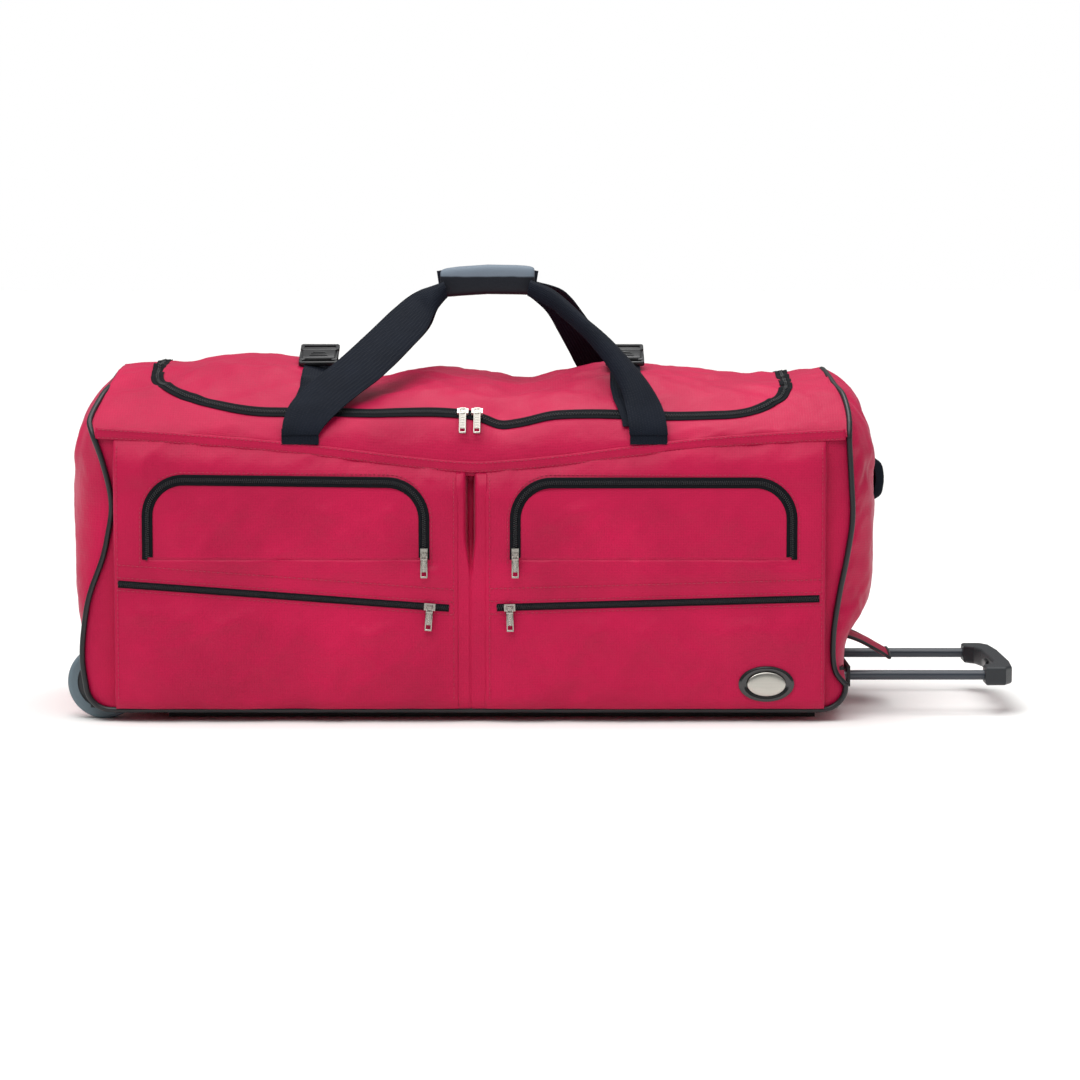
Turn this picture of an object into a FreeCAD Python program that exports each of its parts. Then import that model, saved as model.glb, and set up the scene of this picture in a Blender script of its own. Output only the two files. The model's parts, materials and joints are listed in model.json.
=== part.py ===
import FreeCAD, Part
import os
import Sketcher

# Rolling duffel bag, millimetres. +X to the trolley handle, -Y to the pocket side, +Z up.
# The origin is on the floor under the middle of the bag body, on the middle skid runner.
# A size given as "=..." follows the sizes it fits to.

V = FreeCAD.Vector
DEG_PER_RAD = 57.29577951
doc = FreeCAD.newDocument("RollingDuffel")
dims = doc.addObject("Spreadsheet::Sheet", "dims")

SIZES = [
    # bag body
    ("body_half", 480), ("body_y", 180), ("body_base", 16),
    ("dome_r", 258.4), ("crest_z", 440), ("seam_drop", 9.992988), ("wall", 4), ("corner_r", 32),
    ("seam_z", "=crest_z - dome_r + sqrt(dome_r ^ 2 - body_y ^ 2) - seam_drop"),
    ("lid_half", 400), ("lid_y", 150), ("lid_gap", 0.5), ("hinge_gap", 1.5),
    ("bulge", 28), ("bulge_half_y", 150), ("bulge_low", 112), ("bulge_high", 408),
    ("bulge_r", 24), ("pipe_w", 8), ("pipe_out", 4),
    # stiff base
    ("board_z", 64), ("board_t", 4), ("runner_w", 16), ("runner_y", 130),
    ("runner_left", 385), ("runner_right", 470),
    # pockets
    ("pocket_in", 19), ("pocket_out", 446), ("pocket_low", 26), ("pocket_high", 340),
    ("pocket_t", 16), ("flap_in", 62), ("flap_out", 398), ("flap_low", 206),
    ("flap_high", 298), ("flap_t", 3), ("flap_gap", 0.6), ("pouch_back", 3),
    ("zip_w", 10), ("zip_t", 1.5), ("low_zip_w", 9), ("low_zip_in_z", 146),
    ("low_zip_left_z", 176), ("low_zip_right_z", 158), ("low_zip_in", 28), ("low_zip_out", 440),
    # zip sliders and pulls
    ("slider_l", 14), ("slider_w", 9), ("slider_t", 4), ("post_t", 1.4), ("pin_r", 0.9),
    ("pin_out", 2.6), ("eye_r", 2.1), ("eye_l", 5), ("pin_clear", 0.08), ("pull_w", 9),
    ("pull_t", 1.6), ("pull_l", 30), ("main_pull_l", 38), ("slot_w", 3.2), ("slot_l", 9),
    ("seat", 0.4), ("main_pull_hang", 40), ("main_slider_x", 9), ("main_slider_y", 158), ("low_slider_x", 50),
    ("up_slider_x", 51), ("up_slider_z", 214),
    # carry handles, straps and buckles
    ("pivot_y", 182), ("pivot_rise", 15), ("pivot_z", "=seam_z + pivot_rise"), ("base_x", 218), ("base_mid", 6), ("web_w", 46),
    ("web_t", 3), ("grip_mid", 20), ("grip_l", 122), ("grip_y", 11), ("grip_z", 552),
    ("grip_web", 26), ("wrap_y", 24), ("wrap_h", 40), ("wrap_gap", 0.4), ("tab_h", 12),
    ("strap_x", 197), ("strap_w", 38), ("strap_lift", 1.6), ("strap_t", 1.8),
    ("strap_end", 52), ("buckle_w", 50), ("buckle_h", 13), ("socket_l", 32), ("plug_l", 26),
    ("buckle_y", 54), ("buckle_lift", 4), ("buckle_tilt", 22), ("prong_l", 10),
    ("prong_w", 34), ("prong_h", 5), ("prong_gap", 0.8), ("buckle_gap", 0.4),
    # badge and end grab handle
    ("badge_x", 372), ("badge_z", 50), ("badge_w", 70), ("badge_h", 45), ("badge_t", 3),
    ("plate_w", 48), ("plate_h", 30), ("plate_t", 1.5),
    ("grab_low", 262), ("grab_high", 326), ("grab_out", 28), ("grab_t", 4), ("grab_w", 38),
    ("grab_tab", 26),
    # wheels
    ("wheel_x", 464), ("wheel_y", 145), ("wheel_r", 47), ("tyre_w", 23), ("tyre_deep", 13),
    ("hub_r", "=wheel_r - tyre_deep"),
    ("hub_w", 17), ("axle_r", 4), ("axle_clear", 0.05), ("axle_l", 44), ("house_w", 46),
    ("house_left", 480), ("house_right", 409), ("house_top", 103), ("wheel_clear", 4),
    ("side_clear", 2), ("spoke_hole_r", 6), ("spoke_rim", 14),
    ("spoke_ring_r", "=hub_r - spoke_rim"), ("well_clear", 2),
    # trolley
    ("tube_y", 112), ("tube_z", 50), ("tube_r", 6.25), ("tube_clear", 0.1), ("tube_wall", 1.2),
    ("outer_wall", 1.25), ("outer_r", "=tube_r + tube_clear + outer_wall"),
    ("outer_left", 400), ("inner_left", 60),
    ("grip_x", 657), ("grip_end", 26), ("grip_bow", 40), ("grip_block", 28), ("bar_w", 22),
    ("grip_tall", 24), ("socket_deep", 12), ("grip_round", 4), ("mouth_t", 4), ("mouth_h", 26),
    ("mouth_hole", 0.6), ("mouth_over", 14), ("button_l", 30), ("button_h", 9),
    ("button_out", 3.5), ("button_deep", 6), ("button_gap", 0.3),
    # handle cover flap
    ("cover_w", 110), ("cover_gap", 4.5), ("cover_z", 96), ("cover_l", 60),
    ("cover_root_t", 6), ("cover_tip_t", 4), ("cover_drop", 26),
]
for row, (alias, value) in enumerate(SIZES, start=1):
    dims.set("A%d" % row, alias)
    dims.set("B%d" % row, str(value))
    dims.setAlias("B%d" % row, alias)
doc.recompute()

AXIS_X = FreeCAD.Rotation(V(0, 1, 0), 90)
AXIS_Y = FreeCAD.Rotation(V(1, 0, 0), -90)
UPRIGHT = FreeCAD.Rotation()
nodes = []


def ex(text):
    """Put the sheet's name before each alias in an expression."""
    out, word = "", ""
    names = {alias for alias, _ in SIZES}
    for ch in text + " ":
        if ch.isalnum() or ch == "_":
            word += ch
            continue
        out += ("dims." + word if word in names else word) + ch
        word = ""
    return out.strip()


def value(text):
    """The number an expression stands for, read from the sheet."""
    probe.setExpression("Length", ex("(%s) + 5000" % text))
    probe.recompute()
    return probe.Length.Value - 5000


probe = doc.addObject("Part::Box", "probe")


def bind(obj, **sizes):
    for name, text in sizes.items():
        obj.setExpression(name, ex(text))
    return obj


def at(obj, x="0", y="0", z="0", turn=None):
    if turn is not None:
        obj.Placement = FreeCAD.Placement(V(0, 0, 0), turn)
    for name, text in (("x", x), ("y", y), ("z", z)):
        obj.setExpression("Placement.Base." + name, ex(text))
    return obj


def box(name, x, y, z):
    """A box from three (low, high) pairs of expressions."""
    obj = doc.addObject("Part::Box", name)
    for prop, (low, high) in zip(("Length", "Width", "Height"), (x, y, z)):
        obj.setExpression(prop, ex("(%s) - (%s)" % (high, low)))
    return at(obj, x[0], y[0], z[0])


def rod(name, turn, radius, length, x="0", y="0", z="0"):
    obj = doc.addObject("Part::Cylinder", name)
    bind(obj, Radius=radius, Height=length)
    return at(obj, x, y, z, turn)


def cut(name, base, tool):
    obj = doc.addObject("Part::Cut", name)
    obj.Base = base
    obj.Tool = tool
    return obj


def join(name, shapes):
    obj = doc.addObject("Part::MultiFuse", name)
    obj.Shapes = shapes
    return obj


def common(name, shapes):
    obj = doc.addObject("Part::MultiCommon", name)
    obj.Shapes = shapes
    return obj


def group(name, shapes):
    obj = doc.addObject("Part::Compound", name)
    obj.Links = shapes
    return obj


def node(obj, label):
    obj.Label = label
    nodes.append(obj)
    return obj


def plane(body, role):
    return next(f for f in body.Origin.OriginFeatures if f.Role == role)


def outline(body, role, corners):
    """A closed sketch of straight edges, each corner bound to a pair of expressions."""
    sketch = body.newObject("Sketcher::SketchObject", body.Name + "_sketch")
    sketch.AttachmentSupport = [(plane(body, role), "")]
    sketch.MapMode = "FlatFace"
    start = [V(value(a), value(b), 0) for a, b in corners]
    for i, point in enumerate(start):
        sketch.addGeometry(Part.LineSegment(point, start[(i + 1) % len(start)]))
    for i in range(len(start)):
        sketch.addConstraint(Sketcher.Constraint("Coincident", i, 2, (i + 1) % len(start), 1))
    for i, (a, b) in enumerate(corners):
        for kind, text, number in (("DistanceX", a, start[i].x), ("DistanceY", b, start[i].y)):
            place = sketch.addConstraint(Sketcher.Constraint(kind, -1, 1, i, 1, number))
            sketch.setExpression("Constraints[%d]" % place, ex(text))
    return sketch


def circle(body, role, radius, a="0", b="0"):
    sketch = body.newObject("Sketcher::SketchObject", body.Name + "_circle")
    sketch.AttachmentSupport = [(plane(body, role), "")]
    sketch.MapMode = "FlatFace"
    middle = V(value(a), value(b), 0)
    sketch.addGeometry(Part.Circle(middle, V(0, 0, 1), value(radius)))
    places = [
        (sketch.addConstraint(Sketcher.Constraint("Radius", 0, value(radius))), radius),
    ]
    for kind, text, number in (("DistanceX", a, middle.x), ("DistanceY", b, middle.y)):
        if abs(number) > 1e-6:
            added = sketch.addConstraint(Sketcher.Constraint(kind, -1, 1, 0, 3, number))
            places.append((added, text))
    for place, text in places:
        sketch.setExpression("Constraints[%d]" % place, ex(text))
    return sketch


def new_body(name):
    body = doc.addObject("PartDesign::Body", name)
    doc.recompute()
    return body


def pad(body, sketch, length, both_ways=True):
    feature = body.newObject("PartDesign::Pad", sketch.Name + "_pad")
    feature.Profile = sketch
    if both_ways:
        feature.SideType = "Symmetric"
    feature.setExpression("Length", ex(length))
    doc.recompute()
    return feature


def pocket(body, sketch, length):
    """A cut both ways from the sketch plane."""
    feature = body.newObject("PartDesign::Pocket", sketch.Name + "_pocket")
    feature.Profile = sketch
    feature.SideType = "Symmetric"
    before = body.Shape.Volume
    feature.setExpression("Length", ex(length))
    doc.recompute()
    if body.Shape.Volume >= before:
        raise RuntimeError(body.Name + ": pocket cuts nothing")
    return feature


def round_edges(obj, name, radius, chosen):
    """Fillet the edges of obj that the test picks."""
    doc.recompute()
    fillet = doc.addObject("Part::Fillet", name)
    fillet.Base = obj
    size = value(radius)
    picked = [i for i, e in enumerate(obj.Shape.Edges, start=1) if chosen(e)]
    fillet.Edges = [(i, size, size) for i in picked]
    return fillet


# ---------------------------------------------------------------- bag body
# The body is a loaf: flat front, back and base, under a long dome about the X axis.
DOME_Z = "(crest_z - dome_r)"
FULL = ("-body_half", "body_half")


def dome(name, radius, x=FULL):
    length = "(%s) - (%s)" % (x[1], x[0])
    return rod(name, AXIS_X, radius, length, x[0], "0", DOME_Z)


def dome_skin(name, inside, outside, x=FULL):
    return cut(name, dome(name + "_out", outside, x), dome(name + "_in", inside, x))


def wheel_wells(name):
    """Two blocks of air around the wheels and their housings."""
    blocks = []
    for side in (-1, 1):
        middle = "%d * wheel_y" % side
        reach = "(house_w / 2 + well_clear)"
        blocks.append(
            box(
                "%s_%d" % (name, side + 1),
                ("-body_half - bulge - 20", "-house_right + well_clear"),
                ("%s - %s" % (middle, reach), "%s + %s" % (middle, reach)),
                ("-5", "house_top + well_clear"),
            )
        )
    return join(name, blocks)


def rounded_wall(label, low, high):
    """A front or back wall with its two base corners rounded."""
    wall = box(label + "_sheet", FULL, (low, high), ("body_base", "seam_z"))
    base = value("body_base")

    def corner(edge):
        flat = edge.BoundBox
        return flat.YLength > 1 and flat.XLength < 0.1 and abs(flat.ZMax - base) < 0.1

    return node(round_edges(wall, label + "_round", "corner_r", corner), label)


rounded_wall("front_panel", "-body_y", "-body_y + wall")
rounded_wall("back_panel", "body_y - wall", "body_y")

inner_y = "(body_y - wall)"
flat_base = box(
    "base_sheet",
    ("-body_half + corner_r", "body_half - corner_r"),
    ("-" + inner_y, inner_y),
    ("body_base", "body_base + wall"),
)
corner_shells = []
for side in (-1, 1):
    tag = "left" if side < 0 else "right"
    centre = "%d * (body_half - corner_r)" % side
    outer = rod(tag + "_turn", AXIS_Y, "corner_r", "2 * " + inner_y, centre, "-" + inner_y,
                "body_base + corner_r")
    inner = rod(tag + "_turn_in", AXIS_Y, "corner_r - wall", "2 * " + inner_y, centre,
                "-" + inner_y, "body_base + corner_r")
    ring = cut(tag + "_turn_ring", outer, inner)
    span = (centre, centre + " + corner_r") if side > 0 else (centre + " - corner_r", centre)
    quarter = box(tag + "_quarter", span, ("-body_y", "body_y"),
                  ("body_base", "body_base + corner_r"))
    corner_shells.append(common(tag + "_base_turn", [ring, quarter]))
base_all = join("base_all", [flat_base] + corner_shells)


def tube_holes(name):
    """Room through the right end for the two fixed trolley tubes."""
    holes = [
        rod("%s_%d" % (name, s + 1), AXIS_X, "outer_r + 0.2", "120", "body_half - 60",
            "%d * tube_y" % s, "tube_z")
        for s in (-1, 1)
    ]
    return join(name, holes)


base_voids = join("base_voids", [wheel_wells("base_wells"), tube_holes("base_tubes")])
node(cut("base_cut", base_all, base_voids), "base_panel")

for side, label in ((-1, "front_yoke"), (1, "back_yoke")):
    skin = dome_skin(label + "_skin", "dome_r - wall", "dome_r")
    edge = "lid_y" if side < 0 else "lid_y + lid_gap"
    low, high = ("-body_y", "-" + edge) if side < 0 else (edge, "body_y")
    band = box(label + "_band", FULL, (low, high), ("seam_z", "crest_z"))
    node(common(label + "_strip", [skin, band]), label)

yoke_ends = []
for side in (-1, 1):
    span = ("-body_half", "-lid_half") if side < 0 else ("lid_half", "body_half")
    tag = "left" if side < 0 else "right"
    skin = dome_skin(tag + "_yoke_skin", "dome_r - wall", "dome_r", span)
    band = box(tag + "_yoke_band", span, ("-lid_y", "lid_y + lid_gap"), ("seam_z", "crest_z"))
    yoke_ends.append(common(tag + "_yoke_strip", [skin, band]))
node(group("yoke_pair", yoke_ends), "end_yokes")

for side, label in ((-1, "left_end_panel"), (1, "right_end_panel")):
    inner = "%d * (body_half - wall)" % side
    outer = "%d * body_half" % side
    span = (inner, outer) if side > 0 else (outer, inner)
    sheet = box(label + "_sheet", span, ("-" + inner_y, inner_y),
                ("body_base + corner_r", "crest_z"))
    trim = dome(label + "_trim", "dome_r - wall", ("-body_half - 50", "body_half + 50"))
    flat = common(label + "_flat", [sheet, trim])
    far = "%d * (body_half + bulge)" % side
    span = (outer, far) if side > 0 else (far, outer)
    pillow = box(label + "_pillow", span, ("-bulge_half_y", "bulge_half_y"),
                 ("bulge_low", "bulge_high"))
    reach = value(far)

    def rim(edge, reach=reach):
        flat_box = edge.BoundBox
        return abs(flat_box.XMin - reach) < 0.1 and abs(flat_box.XMax - reach) < 0.1

    soft = round_edges(pillow, label + "_soft", "bulge_r", rim)
    crown = dome(label + "_crown", "dome_r - wall - 1", ("-body_half - 50", "body_half + 50"))
    whole = join(label + "_whole", [flat, common(label + "_padded", [soft, crown])])
    if side < 0:
        tool = wheel_wells("end_wells")
    else:
        tool = tube_holes("end_tubes")
    node(cut(label + "_cut", whole, tool), label)

for side, label in ((-1, "left_piping"), (1, "right_piping")):
    middle = "%d * (body_half - pipe_w / 2)" % side
    span = (middle + " - pipe_w / 2", middle + " + pipe_w / 2")
    band_out = box(label + "_band", span, ("-body_y - pipe_out", "body_y + pipe_out"),
                   ("body_base + corner_r", "crest_z + pipe_out"))
    over = common(label + "_over", [band_out, dome(label + "_big", "dome_r + pipe_out")])
    band_in = box(label + "_in", span, ("-body_y", "body_y"), ("0", "crest_z + 10"))
    under = common(label + "_under", [band_in, dome(label + "_small", "dome_r")])
    node(cut(label + "_arch", over, under), label)

base_pipes = []
for side in (-1, 1):
    tag = "base_pipe_%d" % (side + 1)
    edge = "%d * body_y" % side
    wide = (edge + " - pipe_out", edge) if side < 0 else (edge, edge + " + pipe_out")
    slab = box(tag + "_slab", FULL, wide, ("body_base", "body_base + corner_r"))
    hollow = box(
        tag + "_hollow",
        ("-body_half + corner_r", "body_half - corner_r"),
        wide,
        ("body_base + pipe_w", "body_base + corner_r + 1"),
    )
    ends = []
    for way in (-1, 1):
        centre = "%d * (body_half - corner_r)" % way
        length = "pipe_out"
        big = rod("%s_big%d" % (tag, way + 1), AXIS_Y, "corner_r", length, centre, wide[0],
                  "body_base + corner_r")
        small = rod("%s_small%d" % (tag, way + 1), AXIS_Y, "corner_r - pipe_w", length, centre,
                    wide[0], "body_base + corner_r")
        ring = cut("%s_ring%d" % (tag, way + 1), big, small)
        span = (centre, centre + " + corner_r") if way > 0 else (centre + " - corner_r", centre)
        piece = box("%s_q%d" % (tag, way + 1), span, wide, ("body_base", "body_base + corner_r"))
        ends.append(common("%s_turn%d" % (tag, way + 1), [ring, piece]))
    straight = common(tag + "_mid", [
        slab,
        box(tag + "_run", ("-body_half + corner_r", "body_half - corner_r"), wide,
            ("body_base", "body_base + pipe_w")),
    ])
    base_pipes.append(join(tag, [straight] + ends))
node(group("base_pipe_pair", base_pipes), "base_piping")

# ---------------------------------------------------------------- lid and main zip
lid_skin = dome_skin("lid_skin", "dome_r - wall", "dome_r",
                     ("-lid_half + lid_gap", "lid_half - lid_gap"))
lid_band = box("lid_band", ("-lid_half + lid_gap", "lid_half - lid_gap"),
               ("-lid_y + lid_gap", "lid_y - hinge_gap"), ("seam_z", "crest_z"))
node(common("lid_sheet", [lid_skin, lid_band]), "top_lid")


def zip_u(label, x_out, x_in, y_front, y_in, y_back):
    """A U of zip tape raised on the dome, open towards the hinge."""
    skin = dome_skin(label + "_skin", "dome_r", "dome_r + zip_t",
                     ("-" + x_out, x_out))
    outer = box(label + "_outer", ("-" + x_out, x_out), ("-" + y_front, y_back),
                ("seam_z", "crest_z + zip_t"))
    inner = box(label + "_inner", ("-" + x_in, x_in), ("-" + y_in, y_back + " + 1"),
                ("seam_z - 5", "crest_z + 10"))
    ring = cut(label + "_ring", outer, inner)
    return node(common(label + "_tape", [skin, ring]), label)


zip_u("main_zip_tape", "(lid_half + zip_w / 2)", "lid_half", "(lid_y + zip_w / 2)", "lid_y",
      "(lid_y - 10)")
zip_u("lid_zip_tape", "(lid_half - lid_gap)", "(lid_half - zip_w / 2)", "(lid_y - lid_gap)",
      "(lid_y - zip_w / 2)", "(lid_y - 10)")

# ---------------------------------------------------------------- front pockets
POCKET_FACE = "(-body_y - pocket_t)"
zip_us = []
low_zips = []
for side, tag in ((-1, "left"), (1, "right")):
    def across(near, far, side=side):
        return ("-(%s)" % far, "-(%s)" % near) if side < 0 else (near, far)

    block = box(tag + "_pocket_block", across("pocket_in", "pocket_out"),
                (POCKET_FACE, "-body_y"), ("pocket_low", "pocket_high"))
    pouch = box(tag + "_pouch", across("flap_in", "flap_out"),
                (POCKET_FACE + " - 1", "-body_y - pouch_back"), ("flap_low", "flap_high"))
    node(cut(tag + "_pocket_cut", block, pouch), tag + "_pocket")
    flap = box(tag + "_flap_sheet", across("flap_in + flap_gap", "flap_out - flap_gap"),
               (POCKET_FACE, POCKET_FACE + " + flap_t"),
               ("flap_low + flap_gap", "flap_high - flap_gap"))
    node(flap, tag + "_pocket_flap")
    outer = box(tag + "_zip_outer", across("flap_in - zip_w", "flap_out + zip_w"),
                (POCKET_FACE + " - zip_t", POCKET_FACE), ("flap_low", "flap_high + zip_w"))
    inner = box(tag + "_zip_inner", across("flap_in", "flap_out"),
                (POCKET_FACE + " - zip_t - 1", POCKET_FACE + " + 1"),
                ("flap_low - 1", "flap_high"))
    zip_us.append(cut(tag + "_zip_u", outer, inner))
    low = new_body(tag + "_low_zip")
    far_z = "low_zip_%s_z" % tag
    half = "low_zip_w / 2"
    x_near = "%d * low_zip_in" % side
    x_far = "%d * low_zip_out" % side
    strip = outline(low, "XZ_Plane", [
        (x_near, "low_zip_in_z - " + half), (x_far, far_z + " - " + half),
        (x_far, far_z + " + " + half), (x_near, "low_zip_in_z + " + half),
    ])
    pad(low, strip, "zip_t")
    at(low, "0", POCKET_FACE + " - zip_t / 2", "0")
    low_zips.append(low)
node(group("upper_zip_pair", zip_us), "upper_pocket_zips")
node(group("low_zip_pair", low_zips), "lower_pocket_zips")

# ---------------------------------------------------------------- zip sliders and pulls
# Local frame of a slider: it runs along X, stands on the tape at y = 0 and faces -Y.
# The pull hangs down -Z from a cross pin held by two posts.


def slider(tag, x, y, z, turn, long_side="slider_l", tall_side="slider_w"):
    body = box(tag + "_body", ("-%s / 2" % long_side, "%s / 2" % long_side),
               ("-seat - slider_t", "-seat"),
               ("-%s / 2" % tall_side, "%s / 2" % tall_side))
    front = "(-seat - slider_t)"
    posts = []
    for way in (-1, 1):
        start = "%d * (eye_l / 2 + 0.3)" % way
        end = "%d * (eye_l / 2 + 0.3 + post_t)" % way
        span = (start, end) if way > 0 else (end, start)
        posts.append(box("%s_post%d" % (tag, way + 1), span,
                         (front + " - pin_out - pin_r", front), ("-pin_r", "pin_r")))
    pin = rod(tag + "_pin", AXIS_X, "pin_r", "eye_l + 0.6 + post_t", "-(eye_l + 0.6 + post_t) / 2",
              front + " - pin_out", "0")
    whole = join(tag + "_metal", [body, pin] + posts)
    carrier = group(tag + "_carrier", [whole])
    at(carrier, x, y, z, turn)
    return carrier


def pull(tag, length, x, y, z, turn=UPRIGHT):
    """A pull tab with its eye on the slider's pin; its own origin is the pin's axis."""
    eye = rod(tag + "_eye", AXIS_X, "eye_r", "eye_l", "-eye_l / 2")
    leaf = new_body(tag + "_leaf")
    half = "pull_w / 2"
    blade = outline(leaf, "XZ_Plane", [
        ("-eye_l / 2", "-eye_r + 0.3"), ("-eye_l / 2", "-eye_r - 2"), ("-" + half, "-eye_r - 5"),
        ("-" + half, "-" + length), (half, "-" + length), (half, "-eye_r - 5"),
        ("eye_l / 2", "-eye_r - 2"), ("eye_l / 2", "-eye_r + 0.3"),
    ])
    pad(leaf, blade, "pull_t")
    slot = outline(leaf, "XZ_Plane", [
        ("-slot_w / 2", "-%s + 3" % length), ("slot_w / 2", "-%s + 3" % length),
        ("slot_w / 2", "-%s + 3 + slot_l" % length), ("-slot_w / 2", "-%s + 3 + slot_l" % length),
    ])
    pocket(leaf, slot, "pull_t * 4")
    bore = rod(tag + "_bore", AXIS_X, "pin_r + pin_clear", "eye_l + 2", "-eye_l / 2 - 1")
    whole = cut(tag + "_plate", join(tag + "_solid", [eye, leaf]), bore)
    carrier = group(tag + "_carrier", [whole])
    at(carrier, x, y, z, turn)
    return carrier


PIN_OFF = "(seat + slider_t + pin_out)"

# Main zip: two sliders side by side on the dome, their faces along the dome's normal.
main_y = value("main_slider_y")
rise = (value("(dome_r + zip_t) * (dome_r + zip_t)") - main_y ** 2) ** 0.5
main_turn_deg = -FreeCAD.Vector(0, -main_y, rise).getAngle(V(0, -1, 0)) * DEG_PER_RAD
MAIN_TURN = FreeCAD.Rotation(V(1, 0, 0), main_turn_deg)
SKIN = "sqrt((dome_r + zip_t) ^ 2 - main_slider_y ^ 2)"
PUSH = PIN_OFF + " / (dome_r + zip_t)"
for side, tag in ((-1, "left"), (1, "right")):
    x = "%d * main_slider_x" % side
    z = DOME_Z + " + " + SKIN
    node(slider("main_slider_" + tag, x, "-main_slider_y", z, MAIN_TURN),
         "main_slider_" + tag)
    node(
        pull("main_pull_" + tag, "main_pull_l", x,
             "-main_slider_y * (1 + %s)" % PUSH,
             DOME_Z + " + %s * (1 + %s)" % (SKIN, PUSH),
             FreeCAD.Rotation(V(1, 0, 0), value("-main_pull_hang"))),
        "main_pull_" + tag,
    )

ZIP_FACE = "(-body_y - pocket_t - zip_t)"
for side, tag in ((-1, "left"), (1, "right")):
    run = "(low_zip_out - low_zip_in)"
    climb = "(low_zip_%s_z - low_zip_in_z)" % tag
    x = "%d * low_slider_x" % side
    z = "low_zip_in_z + %s * (low_slider_x - low_zip_in) / %s" % (climb, run)
    slope = side * value(climb) / value(run)
    tilt = FreeCAD.Rotation(V(1, 0, 0), V(1, 0, slope))
    node(slider("lower_slider_" + tag, x, ZIP_FACE, z, tilt), "lower_slider_" + tag)
    node(pull("lower_pull_" + tag, "pull_l", x, ZIP_FACE + " - " + PIN_OFF, z, tilt),
         "lower_pull_" + tag)
    x = "%d * (flap_in - zip_w / 2)" % side
    node(slider("upper_slider_" + tag, x, ZIP_FACE, "up_slider_z", UPRIGHT,
                "slider_w", "slider_l"), "upper_slider_" + tag)
    node(pull("upper_pull_" + tag, "pull_l", x, ZIP_FACE + " - " + PIN_OFF, "up_slider_z"),
         "upper_pull_" + tag)

# ---------------------------------------------------------------- carry handles
# Each handle is a flat loop of webbing in a plane that leans from its foot to the grip.
LEAN_Y = "(pivot_y - grip_y)"
LEAN_Z = "(grip_z - pivot_z)"
SLOPE = "sqrt(%s ^ 2 + %s ^ 2)" % (LEAN_Y, LEAN_Z)
lean_deg = V(0, value(LEAN_Y), value(LEAN_Z)).getAngle(V(0, 0, 1)) * DEG_PER_RAD
web_half = "web_w / 2"
left_foot = "(base_mid - base_x)"
right_foot = "(base_mid + base_x)"
grip_left = "(grip_mid - grip_l / 2)"
grip_right = "(grip_mid + grip_l / 2)"
top_out = SLOPE + " + grip_web / 2"
top_in = SLOPE + " - grip_web / 2"
LOOP = [
    (left_foot + " - " + web_half, "0"), (left_foot + " - " + web_half, "web_w * 0.6"),
    (grip_left, top_out), (grip_right, top_out),
    (right_foot + " + " + web_half, "web_w * 0.6"), (right_foot + " + " + web_half, "0"),
    (right_foot + " - " + web_half, "0"), (right_foot + " - " + web_half, "web_w * 0.3"),
    (grip_right, top_in), (grip_left, top_in),
    (left_foot + " + " + web_half, "web_w * 0.3"), (left_foot + " + " + web_half, "0"),
]
for side, tag in ((-1, "front"), (1, "back")):
    web = new_body(tag + "_web")
    pad(web, outline(web, "XZ_Plane", LOOP), "web_t")
    turn = FreeCAD.Rotation(V(1, 0, 0), side * lean_deg)
    at(web, "0", "%d * pivot_y" % side, "pivot_z", turn)
    node(web, tag + "_handle_webbing")
    near = "%d * wrap_gap" % side
    far = "%d * wrap_y" % side
    span = (near, far) if side > 0 else (far, near)
    sleeve = box(tag + "_sleeve", ("grip_mid - grip_l / 2", "grip_mid + grip_l / 2"), span,
                 ("grip_z - wrap_h / 2", "grip_z + wrap_h / 2"))
    outer_y = value(far)

    def long_edge(edge, outer_y=outer_y):
        flat = edge.BoundBox
        return abs(flat.YMin - outer_y) < 0.1 and flat.YLength < 0.1 and flat.XLength > 20

    soft = round_edges(sleeve, tag + "_sleeve_soft", "grip_round * 1.5", long_edge)
    node(cut(tag + "_wrap", soft, web), tag + "_wrap_half")

tabs = []
for side in (-1, 1):
    for way in (-1, 1):
        middle = left_foot if way < 0 else right_foot
        low = "%d * body_y" % side
        high = "%d * (body_y + web_t)" % side
        span = (low, high) if side > 0 else (high, low)
        tabs.append(box("tab_%d%d" % (side + 1, way + 1),
                        (middle + " - " + web_half, middle + " + " + web_half), span,
                        ("seam_z - 6", "seam_z - 6 + tab_h")))
node(group("tab_group", tabs), "webbing_anchors")

# Lid straps lie on the dome; each pair of buckle halves meets over the crest.
for side, tag in ((-1, "front"), (1, "back")):
    strips = []
    low, high = ("-body_y", "-strap_end") if side < 0 else ("strap_lift * 3", "body_y")
    for way in (-1, 1):
        span = ("%d * strap_x - strap_w / 2" % way, "%d * strap_x + strap_w / 2" % way)
        name = "%s_strap_%d" % (tag, way + 1)
        skin = dome_skin(name + "_skin", "dome_r + strap_lift",
                         "dome_r + strap_lift + strap_t", span)
        band = box(name + "_band", span, (low, high), ("pivot_z", "crest_z + 10"))
        strips.append(common(name, [skin, band]))
    node(group(tag + "_strap_pair", strips), tag + "_lid_straps")

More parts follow.
